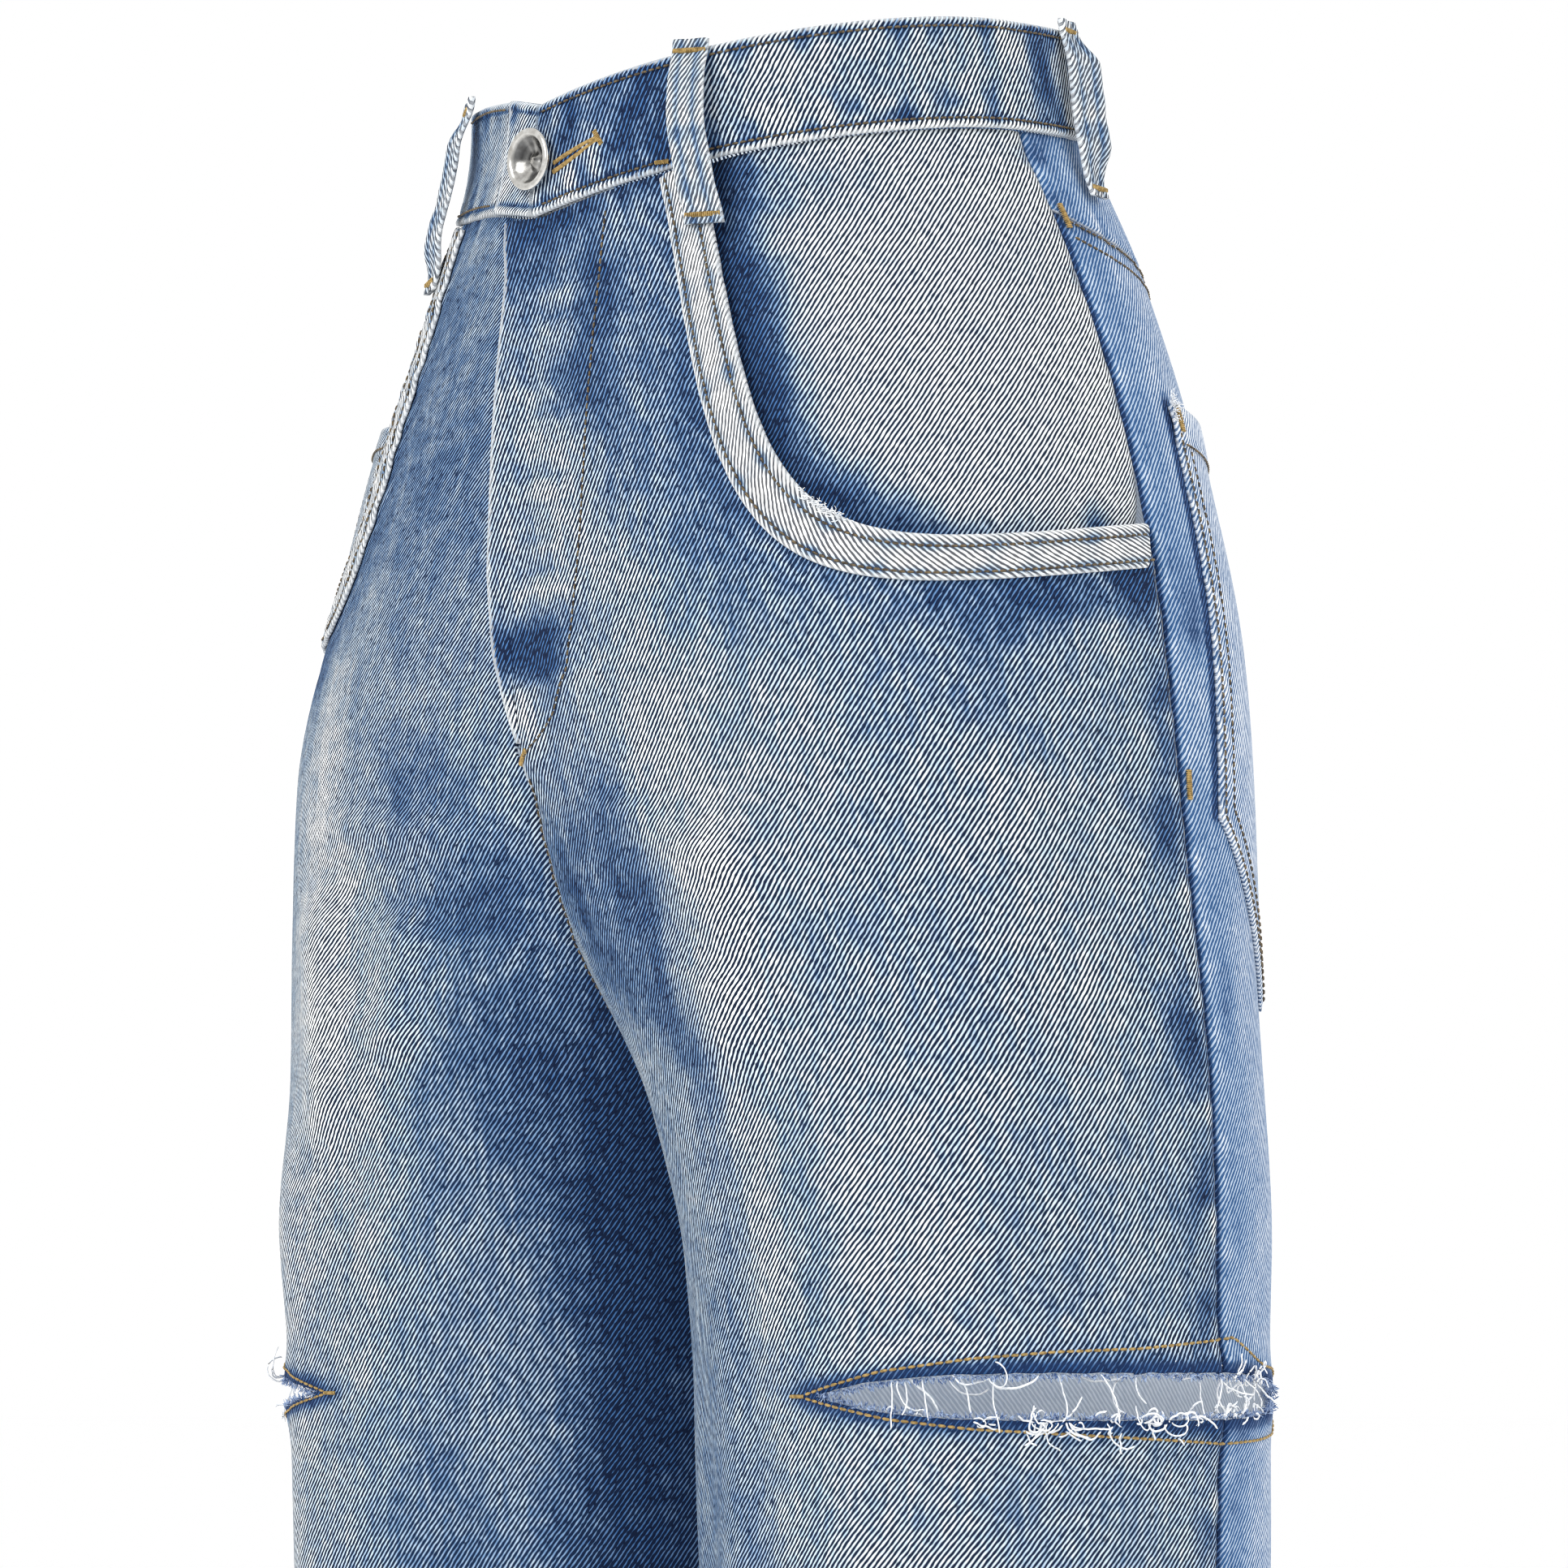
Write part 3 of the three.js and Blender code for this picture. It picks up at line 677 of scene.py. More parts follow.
    bump = add_node(tree, "ShaderNodeBump", {"Strength": 0.5, "Distance": 0.0003, "Height": share})
    shader = add_node(tree, "ShaderNodeBsdfPrincipled", {
        "Base Color": colour, "Roughness": 0.92, "IOR": 1.45, "Normal": bump.outputs["Normal"],
    })
    shader.inputs["Specular IOR Level"].default_value = 0.25
    add_node(tree, "ShaderNodeOutputMaterial", {"Surface": shader.outputs["BSDF"]})
    return material


def thread_material(name, dark, light):
    """Polyester-wrapped cotton thread: two tones that change about every millimetre, with a soft shine."""
    material, tree = blank_material(name)
    place = add_node(tree, "ShaderNodeTexCoord").outputs["Object"]
    bands = add_node(
        tree, "ShaderNodeTexNoise", {"Vector": place, "Scale": 900.0, "Detail": 1.0},
    ).outputs["Fac"]
    colour = ramp(tree, bands, ((0.35, dark), (0.65, light)))
    bump = add_node(tree, "ShaderNodeBump", {"Strength": 0.4, "Distance": 0.0001, "Height": bands})
    shader = add_node(tree, "ShaderNodeBsdfPrincipled", {
        "Base Color": colour, "Roughness": 0.55, "IOR": 1.5, "Normal": bump.outputs["Normal"],
    })
    add_node(tree, "ShaderNodeOutputMaterial", {"Surface": shader.outputs["BSDF"]})
    return material


def nickel_material():
    """Stamped brass plated with nickel and tumbled: bright, with fine handling scratches."""
    material, tree = blank_material("plated nickel")
    place = add_node(tree, "ShaderNodeTexCoord").outputs["Object"]
    wear = add_node(
        tree, "ShaderNodeTexNoise", {"Vector": place, "Scale": 420.0, "Detail": 4.0},
    ).outputs["Fac"]
    plate = ramp(tree, wear, ((0.3, "b3b0aa"), (0.7, "dddcd8")))
    # the bottom of the dish is tarnished, and rings of dark and light across the dish are painted reflection;
    # its rim and its nub are rubbed bright
    centred = add_node(
        tree, "ShaderNodeVectorMath", {0: place, 1: (0.0, 0.0, -BUTTON_HEIGHT * MM)}, operation="ADD")
    flat = add_node(
        tree, "ShaderNodeVectorMath", {0: centred.outputs[0], 1: (1.0, 0.0, 1.0)}, operation="MULTIPLY")
    radius = add_node(tree, "ShaderNodeVectorMath", {0: flat.outputs[0]}, operation="LENGTH")
    across = add_node(
        tree, "ShaderNodeMapRange", {"Value": radius.outputs["Value"], "From Max": 0.0105},
    ).outputs["Result"]
    tarnish_and_reflection = ramp(tree, across, (
        (0.1, "e0dfdc"), (0.24, "3e3f42"), (0.34, "8d8e90"), (0.5, "5c5d60"), (0.7, "808184"),
        (0.8, "ffffff"),
    ))
    # bright rays from the middle outwards are painted reflection
    heading = add_node(tree, "ShaderNodeVectorMath", {0: flat.outputs[0]}, operation="NORMALIZE")
    reflection_rays = add_node(
        tree, "ShaderNodeTexNoise", {"Vector": heading.outputs[0], "Scale": 1.1, "Detail": 1.0},
    ).outputs["Fac"]
    shaded = mix(tree, 1.0, plate, tarnish_and_reflection, blend_type="MULTIPLY")
    colour = mix(tree, smooth_range(tree, reflection_rays, 0.45, 0.75), shaded, plate)
    rough = add_node(
        tree, "ShaderNodeMapRange", {"Value": wear, "To Min": 0.14, "To Max": 0.3},
    ).outputs["Result"]
    bump = add_node(tree, "ShaderNodeBump", {"Strength": 0.12, "Distance": 0.0002, "Height": wear})
    shader = add_node(tree, "ShaderNodeBsdfPrincipled", {
        "Base Color": colour, "Roughness": rough, "Metallic": 1.0, "Normal": bump.outputs["Normal"],
    })
    add_node(tree, "ShaderNodeOutputMaterial", {"Surface": shader.outputs["BSDF"]})
    return material


# Stone-washed indigo, from unworn to worn: the warp keeps its blue, the weft goes to white.
WARP = ((0.0, "0a1b38"), (0.3, "0f2443"), (0.5, "111d34"), (1.0, "1c212c"))
WEFT = ((0.0, "426c9f"), (0.25, "7796ba"), (0.45, "b6c8d8"), (0.7, "e4e8ea"), (1.0, "f8f8f6"))
SOFT_WARP = ((0.0, "132b50"), (0.4, "2f5481"), (0.7, "3f5d85"), (1.0, "8797ac"))
SOFT_WEFT = ((0.0, "4a6a9a"), (0.5, "a9bbd0"), (1.0, "f2f3f4"))
REVERSE_WARP = ((0.0, "6d7b90"), (1.0, "98a1ad"))
REVERSE_WEFT = ((0.0, "b6bdc6"), (1.0, "dfe1e2"))
# key: name, warp, weft, pitch against the twill's, contrast, mottle, slope
DENIMS = {
    "denim": ("stone-washed twill denim", WARP, WEFT, 1.0, 1.0, 1.0, 52),
    "band denim": ("twill denim, cut across", WARP, WEFT, 1.0, 1.0, 1.0, 59),
    "facing denim": ("twill denim, pocket facing", WARP, WEFT, 0.92, 1.0, 0.7, 50),
    "pale denim": ("twill denim, folded edges", WARP, WEFT, 0.86, 0.8, 0.8, 62),
    "soft denim": ("faded twill denim, back", SOFT_WARP, SOFT_WEFT, 1.0, 1.0, 0.8, 52),
    "reverse": ("reverse of twill denim", REVERSE_WARP, REVERSE_WEFT, 1.0, 0.4, 0.6, 52),
}
# key: name, dark and light tone
THREADS = {
    "brown": ("brown twisted thread", "30281d", "6e5c3e"),
    "gold": ("mustard twisted thread", "7d6430", "b29458"),
    "fray": ("undyed cotton yarn", "d9dde2", "f6f7f7"),
    "blue fray": ("indigo cotton fibre", "2c4d82", "a9bddb"),
}
MATERIALS = {}


def get_material(key):
    """The finish of that key, made when it is first asked for."""
    if key not in MATERIALS:
        if key in DENIMS:
            name, warp, weft, coarse, contrast, mottle, slope = DENIMS[key]
            pitch = coarse * bpy.context.scene.jeans.twill
            MATERIALS[key] = denim(name, warp, weft, pitch, contrast, mottle, slope)
        elif key in THREADS:
            MATERIALS[key] = thread_material(*THREADS[key])
        else:
            MATERIALS[key] = nickel_material()
    return MATERIALS[key]


# ---- how worn each place is, and where shade is painted ----

# half (0 is both), angle, height, reach across and up in millimetres, lighter or darker by; the patches hold
# wash and wear, and painted shade in creases, hollows and beside seams and pockets
FRONT_FADE_AND_SHADE = (
    (1, -17, -208, 18, 9, -0.3), (1, -27, -211, 12, 8, -0.15), (1, -37, -206, 10, 6, -0.2),
    (1, -5, -200, 9, 16, -0.22), (1, -12, -222, 7, 10, 0.18), (1, -99, -213, 11, 11, -0.7),
    (1, -92, -80, 14, 12, -0.4), (1, -96, -104, 7, 16, -0.45),
    (1, -82, -102, 6, 24, -0.4), (1, -91, -163, 13, 42, 0.12), (1, -106, -240, 8, 8, 0.25),
    (1, -97, -292, 13, 46, -0.2), (1, -99, -340, 13, 34, -0.15), (1, -113, -288, 20, 24, -0.25),
    (1, -114, -318, 20, 25, -0.2), (1, -92, -336, 14, 40, -0.12),
    (1, -78, -298, 10, 60, 0.15), (1, -88, -395, 12, 120, 0.16), (1, -76, -401, 10, 60, -0.1),
    (1, -61, -390, 24, 80, 0.12), (1, -28, -274, 50, 50, 0.12), (1, -44, -312, 40, 40, -0.06),
    (1, -18, -337, 30, 60, 0.12), (1, -33, -236, 40, 22, -0.12), (1, -71, -160, 22, 60, -0.14),
    (1, -66, -250, 35, 24, 0.1), (1, -84, -235, 16, 30, 0.1), (1, -84, -128, 12, 24, -0.15),
    (-1, -86, -249, 26, 15, -0.14), (-1, -93, -264, 20, 12, -0.15), (-1, -110, -292, 26, 16, -0.18),
    (-1, -104, -299, 22, 22, -0.1), (-1, -143, -345, 32, 50, -0.3), (-1, -155, -405, 28, 90, -0.45),
    (-1, -151, -490, 26, 70, -0.15), (-1, -69, -258, 13, 55, 0.25), (-1, -81, -320, 13, 75, 0.22),
    (-1, -93, -399, 20, 80, 0.14), (-1, -84, -145, 34, 55, -0.16), (-1, -120, -345, 26, 40, -0.2),
    (-1, -64, -400, 26, 120, 0.1), (-1, -45, -207, 30, 12, -0.3), (-1, -20, -209, 22, 12, -0.4),
    (0, -50, -640, 70, 90, 0.14), (0, -100, -600, 30, 140, -0.1), (0, -60, -860, 40, 160, 0.08),
    (0, -110, -860, 40, 180, -0.1), (0, -60, -720, 60, 24, -0.08), (0, -150, -640, 34, 220, -0.2),
)
BACK_FADE_AND_SHADE = (
    (1, 15, -262, 10, 24, -0.5), (1, 9, -205, 9, 18, -0.35), (0, 12, -330, 8, 26, -0.15),
    (0, 60, -230, 60, 70, 0.1), (0, 80, -372, 80, 16, -0.16), (0, 130, -400, 40, 90, -0.2),
    (0, 60, -560, 50, 120, 0.1), (0, 80, -640, 60, 14, -0.14), (0, 90, -850, 60, 150, 0.08),
    (0, 150, -640, 34, 220, -0.12), (0, 95, -110, 16, 60, -0.15), (0, 8, -300, 14, 120, 0.08),
)
FACING_FADE_AND_SHADE = (
    (0, -58, -98, 14, 50, -0.4), (0, -60, -140, 9, 30, -0.5), (0, -48, -66, 30, 10, -0.2),
    (0, -5, -180, 8, 7, -0.7), (0, -3, -150, 12, 60, 0.12), (0, -34, -186, 50, 5, -0.25),
    (0, -50, -172, 14, 10, -0.3),
)
BAND_FADE_AND_SHADE = (
    (1, 9, -22, 9, 20, -0.55), (1, -70, -38, 20, 18, -0.45), (1, -84, -34, 10, 14, -0.25),
    (1, -60, -52, 16, 8, -0.25), (1, -24, -37, 24, 1.6, -0.5), (1, -42, -26, 22, 9, 0.2),
    (1, -20, -46, 40, 5, 0.25), (1, 0, -20, 12, 12, 0.15), (1, -50, -50, 12, 10, 0.2),
    (-1, -82, -50, 14, 14, 0.2), (-1, -60, -30, 16, 18, -0.3), (0, 50, -24, 40, 12, 0.12),
    (0, 84, -20, 14, 18, -0.3), (-1, 10, -22, 10, 20, -0.4),
)
# heights of the puckers in front of the side seam, painted as dark patches of wear and shade
SEAM_PUCKERS = (-203, -232, -256, -284, -313, -337, -362, -390, -427, -474, -512, -560, -604, -655,
                -700, -752, -806, -850, -905, -960, -1010)


def patches(table, half, angle, z):
    """Sum of a table's soft patches, with swaying outlines and a broken surface."""
    total = np.zeros(np.shape(angle))
    sway = 4.0 * np.sin(z / 17 + angle / 9) + 3.0 * np.sin(z / 7.3 - angle / 4.7 + 1.0)
    for side, a, height, wide, tall, amount in table:
        across = ((angle - a) * ARC_PER_DEGREE + 0.7 * sway) / wide
        up = (z - height + sway) / tall
        spot = amount * np.exp(-across ** 2 - up ** 2)
        total += spot if side == 0 else np.where(half == side, spot, 0)
    broken = 1 + 0.35 * np.sin(z / 4.3 + angle / 1.9) * np.sin(z / 2.9 - angle / 2.3)
    return total * broken


def bell(distance, reach):
    """1 at no distance, falling off smoothly with reach."""
    return np.exp(-((distance / reach) ** 2))


# ---- how far each layer stands off the form ----

def slash_flare(half, angle, z):
    """The cut edges stand out at the middle of the slash and curl unevenly."""
    t = (angle - SLASH_MIDDLE) / SLASH_REACH
    away = np.maximum(slash_distance(angle, z), 0)
    uneven = 0.8 * rope(arc(angle, z) / 1.5, half) * bell(away, 6)
    return clamp(1.15 - t * t) * (2.4 * bell(away, 9) + uneven)


def hem_rise(half, angle, z):
    """The turned hem is thicker, with slanting ripples above its stitches."""
    up = z + LENGTH
    return 0.9 * ease((15 - up) / 2) + 0.5 * rope((arc(angle, z) + up) / 1.3, half) * bell(up - 10, 9)


def front_out(half, angle, z, fly=True):
    """Front panel: dips at its seams, ripples along them, and the lap raised over the fly."""
    beside = arc(side_angle(FRONT, z), z) - arc(angle, z)
    inner = arc(angle, z) - arc(middle_angle(FRONT, z), z)
    low = ease((FLY_BOTTOM - z) / 20)
    below = band_top(angle) - BAND_HEIGHT - z
    out = -1.3 * bell(beside, 1.5) + 0.5 * rope(z / 1.6, half) * bell(beside, 7)
    out = out + low * (-1.3 * bell(inner, 1.5) + 0.4 * rope(z, 2.0) * bell(inner, 6))
    out = out + 0.4 * rope(arc(angle, z) / 1.2, 3.0) * bell(below, 12)
    pocket = scoop_distance(angle, z, SCOOP_BAND)
    out = out + 0.6 * rope((z + 2 * angle) / 1.2, 5.0) * bell(np.maximum(pocket, 0), 9)
    out = out + slash_flare(half, angle, z) + hem_rise(half, angle, z)
    x = surface(half, angle, z)[..., 0]
    if fly:
        raised = 1.9 * (1 - ease((x - fly_edge(z) - 5) / 15)) * ease((z + 264) / 14)
        placket = 0.5 * rope(z / 1.5, 1.0) * bell(x - 16, 15) * ease((z + 250) / 20)
        out = out + raised + placket
    return out


def back_out(half, angle, z):
    """Back panel and yoke: dips at the side, inseam and centre seams, with ripples along them."""
    beside = arc(angle, z) - arc(side_angle(BACK, z), z)
    inner = arc(middle_angle(BACK, z), z) - arc(angle, z)
    out = -1.3 * bell(beside, 1.5) + 0.4 * rope(z / 1.6, half + 3) * bell(beside, 7)
    out = out - 1.2 * bell(inner, 1.5) + 0.4 * rope(z / 1.2, 6.0) * bell(inner, 8)
    seam = z - yoke_height(angle)
    out = out + 0.4 * rope(angle * 2 / 1.2, 4.0) * bell(seam, 8) - 0.9 * bell(seam, 1.2)
    return out + slash_flare(half, angle, z) + hem_rise(half, angle, z)


def facing_out(half, angle, z):
    """The facing sinks behind the edge of the pocket and comes up to the waist and side seams."""
    inside = np.maximum(-scoop_distance(angle, z), 0)
    side = arc(side_angle(FRONT, z), z) - arc(angle, z)
    sag = 4.4 * bell(inside, 10) + 0.6 * rope((angle + z) / 6, 2.0) * bell(inside - 14, 14)
    return -0.5 - sag - 1.2 * bell(side, 2.5) + 0.5 * rope(z / 2, half) * bell(side, 8)


def cloth_at(half, angle, z, turn=0.0):
    """Where a point lies in the weave: millimetres round the panel, to the viewer's right, and up."""
    return np.stack([half * arc(angle, z) + turn, z, np.zeros_like(z)], axis=-1)


# ---- panels ----

def uneven_steps(count):
    """0 to 1 in steps that are finer at both ends, where the seams are."""
    t = np.linspace(0, 1, count + 1)
    return lerp(t, ease(t), 0.55)


def panel_grid(facing, top, columns, rows):
    """Angle and height over a panel, from the middle seam to the side seam and from top to hem."""
    u, v = np.meshgrid(uneven_steps(columns), np.linspace(0, 1, rows + 1), indexing="ij")
    # from a rough top edge, the angles and heights settle in three rounds
    z = lerp(-44.0, -LENGTH, v)
    for _ in range(3):
        angle = lerp(middle_angle(facing, z), side_angle(facing, z), u)
        z = lerp(top(angle), -LENGTH, v)
    return angle, z


# distance to a raw edge where none is near
UNCUT = 99.0


def show_cloth(name, half, angle, z, faces, out, fade_and_shade, edge, keys, node, raw=None, turn=0.0):
    """Makes a piece of cloth from its angles and heights on the form."""
    points = surface(half, angle, z, out)
    faces = outward(points, faces, np.array([np.mean(np.where(half < 0, -1, 1)) * 90.0, 0.0]))
    values = {
        "cloth_mm": cloth_at(half, angle, z, turn),
        "fade_and_shade": fade_and_shade,
        "edge_mm": edge,
        "raw_mm": np.full(len(points), UNCUT) if raw is None else raw,
    }
    wall = bpy.context.scene.jeans.cloth
    finish = [get_material(key) for key in keys]
    return make_piece(name, points, faces, finish, [node], values, wall)


def swept_values(weave, fade_and_shade, edge):
    """Per-point values of a swept piece of cloth; the middles of its two caps repeat the last point's."""
    return {
        "cloth_mm": np.pad(weave.reshape(-1, 3), ((0, 2), (0, 0)), mode="edge"),
        "fade_and_shade": np.pad(fade_and_shade.ravel(), (0, 2), mode="edge"),
        "edge_mm": np.pad(edge.ravel(), (0, 2), mode="edge"),
        "raw_mm": np.full(fade_and_shade.size + 2, UNCUT),
    }


def ragged(half, angle, z):
    """The slash's edge, frayed by a fraction of a millimetre."""
    return slash_distance(angle, z) + 0.3 * rope(arc(angle, z) * 1.3, half)


def front_panel(half, side):
    """A front panel, cut away at its scoop and slash; the left one laps over the fly."""
    columns, rows = 84, 284
    angle, z = panel_grid(FRONT, lambda a: band_top(a) - BAND_HEIGHT - SEAM_GAP, columns, rows)
    faces = triangles(quads(columns, rows))
    data = np.stack([np.full(angle.size, half), angle.ravel(), z.ravel()], axis=1)
    if half == LEFT:
        # the lap runs on past the middle, over the right half
        middle = z[0]
        reach = np.nonzero(fly_edge(middle) < -1.5)[0]
        t = np.linspace(1, 0, 7)[:-1, None]
        x = t * -fly_edge(middle[reach])
        height = np.broadcast_to(middle[reach], x.shape)
        lap = np.stack([np.full(x.size, RIGHT), angle_at_x(x, height).ravel(), height.ravel()], axis=1)
        index = np.vstack([np.arange(x.size).reshape(x.shape) + len(data), reach[None]])
        cells = np.stack([index[:-1, :-1], index[1:, :-1], index[1:, 1:], index[:-1, 1:]], axis=-1)
        faces = np.concatenate([faces, triangles(cells.reshape(-1, 4))])
        data = np.concatenate([data, lap])
    else:
        x = surface(half, data[:, 1], data[:, 2])[:, 0]
        data, faces = clip(data, faces, -4.0 - x + 8 * ease((FLY_BOTTOM + 4 - data[:, 2]) / 6))
    data, faces = clip(data, faces, scoop_distance(data[:, 1], data[:, 2]))
    data, faces = clip(data, faces, ragged(data[:, 0], data[:, 1], data[:, 2]))
    h = np.where(data[:, 0] < 0, RIGHT, LEFT)
    a, z = data[:, 1], data[:, 2]
    lapped = (half == LEFT) & (h < 0)
    x = surface(h, a, z)[:, 0]
    beside = arc(side_angle(FRONT, z), z) - arc(a, z)
    inner = arc(a, z) - arc(middle_angle(FRONT, z), z)
    # lighter on the ridges of the folds, where they wear, and darker in their troughs as painted shade
    fade_and_shade = (0.45 if half == LEFT else 0.44) + 0.022 * folds(h, a, z)
    fade_and_shade = fade_and_shade + patches(FRONT_FADE_AND_SHADE, np.full(len(a), half), a, z)
    ripple = rope(z / 1.6, half)
    # roping along the side seam, a lighter rubbed lip beside it, and a dark line of painted shade in the seam
    # itself
    fade_and_shade = fade_and_shade + 0.22 * ripple * bell(beside, 7) + 0.16 * bell(beside - 2.6, 2) - 0.5 * bell(beside, 1.2)
    # dark patches at the puckers before the side seam: wear, and painted shade in their troughs
    for height in SEAM_PUCKERS:
        chance = math.sin(1.7 * height + half) ** 2
        slant = z - height - 9 * half * chance + 1.2 * beside * math.cos(height)
        pucker = bell(beside - 9 * chance, 4 + 6 * chance) * bell(slant, 6 + 9 * chance)
        fade_and_shade = fade_and_shade - (0.2 + 0.26 * chance) * (0.55 if height < -480 else 1.0) * pucker
    pocket = scoop_distance(a, z, SCOOP_BAND)
    # roping beside the pocket's binding, and painted shade along the binding's edge
    fade_and_shade = fade_and_shade + 0.2 * rope((z + 2 * a) / 1.2, 5.0) * bell(pocket, 8) - 0.12 * bell(pocket, 12)
    below = band_top(a) - BAND_HEIGHT - z
    # painted shadow under the waistband, and roping along its seam
    fade_and_shade = fade_and_shade - 0.25 * bell(below, 6) + 0.2 * rope(arc(a, z) / 1.2, 3.0) * bell(below, 12)
    up = z + LENGTH
    fade_and_shade = fade_and_shade + 0.3 * rope((arc(a, z) + up) / 1.3, half) * bell(up - 10, 9)
    edge = np.minimum(up + 0.6, beside + 1.0)
    if half == LEFT:
        fade_and_shade = fade_and_shade + 0.16 * rope(z / 1.5, 1.0) * bell(x - 14, 14) * ease((z + 250) / 20)
        edge = np.where(z > FLY_BOTTOM, np.minimum(edge, np.abs(x - fly_edge(z))), edge)
        edge = np.where((z <= FLY_BOTTOM) & (z > -400), np.minimum(edge, np.abs(inner - 0.6)), edge)
    # both inner legs are darker, with painted shade where the legs face each other
    fade_and_shade = fade_and_shade - lerp(0.22, 0.34, clamp(half)) * bell(inner, 34) * ease((-330 - z) / 60)
    turn = np.where(lapped, 2 * arc(middle_angle(FRONT, z), z), 0.0)
    raw = np.maximum(slash_distance(a, z), 0)
    fade_and_shade = fade_and_shade - 0.6 * bell(raw, 4)
    out = np.where(lapped, front_out(h, a, z), front_out(np.full(len(a), half), a, z, fly=half == LEFT))
    return show_cloth(
        f"front_panel_{side}", h, a, z, faces, out, fade_and_shade, edge, ("denim", "reverse"),
        f"front_{side}", raw, turn,
    )


def back_panel(half, side):
    """A back panel below the yoke, cut open where the slash runs onto it."""
    columns, rows = 80, 270
    angle, z = panel_grid(BACK, lambda a: yoke_height(a) - SEAM_GAP, columns, rows)
    data = np.stack([np.full(angle.size, half), angle.ravel(), z.ravel()], axis=1)
    faces = triangles(quads(columns, rows))
    data, faces = clip(data, faces, ragged(data[:, 0], data[:, 1], data[:, 2]))
    h, a, z = data.T
    beside = arc(a, z) - arc(side_angle(BACK, z), z)
    inner = arc(middle_angle(BACK, z), z) - arc(a, z)
    # lighter on the ridges of the folds, where they wear, and darker in their troughs as painted shade
    fade_and_shade = 0.62 + 0.022 * folds(h, a, z) + patches(BACK_FADE_AND_SHADE, h, a, z)
    fade_and_shade = fade_and_shade + 0.2 * rope(z / 1.6, half + 3) * bell(beside, 7)
    # roping along the inseam and the seat seam, and painted shade on the inner leg where the legs face each
    # other
    fade_and_shade = fade_and_shade + 0.2 * rope(z / 1.2, 6.0) * bell(inner, 9) - 0.2 * bell(inner, 24) * ease((-330 - z) / 60)
    seam = yoke_height(a) - z
    # painted shade just below the yoke seam, and roping along it
    fade_and_shade = fade_and_shade - 0.2 * bell(seam, 5) + 0.2 * rope(a * 2 / 1.2, 4.0) * bell(seam, 9)
    # painted shade beside the side seam, and a dark line of it in the seam itself
    fade_and_shade = fade_and_shade - 0.3 * bell(beside - 9, 8) * (0.6 + 0.4 * rope(z / 9, 1.0)) - 0.9 * bell(beside, 1.2)
    # a painted shadow line beside the back pocket's inner side, where the pocket stands off the panel
    down = (BACK_POCKET_TOP[0] - z) / 140
    pocket = (lerp(BACK_POCKET_MOUTH[0], BACK_POCKET_FOOT[0], down) - a) * ARC_PER_DEGREE
    line = bell(np.maximum(pocket, 0) - 1.2, 2.2) * (pocket > -4)
    fade_and_shade = fade_and_shade - 1.6 * line * ease((-132 - z) / 6) * ease((276 + z) / 6)
    up = z + LENGTH
    fade_and_shade = fade_and_shade + 0.3 * rope((arc(a, z) + up) / 1.3, half) * bell(up - 10, 9)
    raw = np.maximum(slash_distance(a, z), 0)
    fade_and_shade = fade_and_shade - 0.6 * bell(raw, 4)
    return show_cloth(
        f"back_panel_{side}", h, a, z, faces, back_out(h, a, z), fade_and_shade, up + 0.6,
        ("soft denim", "reverse"), f"back_{side}", raw,
    )


def yoke(half, side):
    """The piece between a back panel and the waistband."""
    columns, rows = 70, 22
    u, v = np.meshgrid(uneven_steps(columns), np.linspace(0, 1, rows + 1), indexing="ij")
    z = np.full(u.shape, -80.0)
    for _ in range(3):
        angle = lerp(side_angle(BACK, z), middle_angle(BACK, z), u)
        top = band_top(angle) - BAND_HEIGHT - SEAM_GAP
        z = lerp(top, yoke_height(angle) + SEAM_GAP / 2, v)
    a, z, v = angle.ravel(), z.ravel(), v.ravel()
    h = np.full(len(a), half)
    beside = arc(a, z) - arc(side_angle(BACK, z), z)
    # roping along the side seam, with painted shade beside it
    fade_and_shade = 0.55 + 0.25 * rope(z / 1.6, half + 3) * bell(beside, 7) - 0.25 * bell(beside - 6, 6)
    # roping along the yoke seam, and painted shadow just under the waistband
    fade_and_shade = fade_and_shade + 0.25 * rope(a * 2 / 1.2, 4.0) * bell((1 - v) * 30, 8) - 0.2 * bell(v * 30, 6)
    return show_cloth(
        f"yoke_panel_{side}", h, a, z, triangles(quads(columns, rows)),
        back_out(h, a, z) + 0.5 * ease(v * 9 - 8), fade_and_shade, (1 - v) * 60 + 0.8,
        ("soft denim", "reverse"), f"yoke_{side}",
    )


def pocket_facing(half, side):
    """The cloth that shows inside a scoop pocket."""
    u, v = np.meshgrid(np.linspace(0, 1, 60), np.linspace(0, 1, 50), indexing="ij")
    z = np.full(u.shape, -120.0)
    for _ in range(3):
        angle = lerp(-70.0, side_angle(FRONT, z), u)
        z = lerp(band_top(angle) - BAND_HEIGHT - SEAM_GAP, -206.0, v)
    data = np.stack([angle.ravel(), z.ravel()], axis=1)
    faces = triangles(quads(59, 49))
    data, faces = clip(data, faces, -scoop_distance(data[:, 0], data[:, 1], SCOOP_BAND - 2))
    a, z = data.T
    h = np.full(len(a), half)
    beside = arc(side_angle(FRONT, z), z) - arc(a, z)
    inside = -scoop_distance(a, z)
    # painted shadow that the binding casts on the facing, deepest along the pocket's front edge
    shade = (0.42 + 0.14 * rope((z + a) / 5, 1.0)) * bell(inside, 17) * ease((-24 - a) / 26)
    fade_and_shade = 0.68 + patches(FACING_FADE_AND_SHADE, h, a, z) - shade
    fade_and_shade = fade_and_shade + 0.2 * rope(z / 2, half) * bell(beside, 7)
    return show_cloth(
        f"pocket_facing_cloth_{side}", h, a, z, faces, facing_out(h, a, z), fade_and_shade, beside + 0.8,
        ("facing denim", "reverse"), f"pocket_facing_{side}",
    )


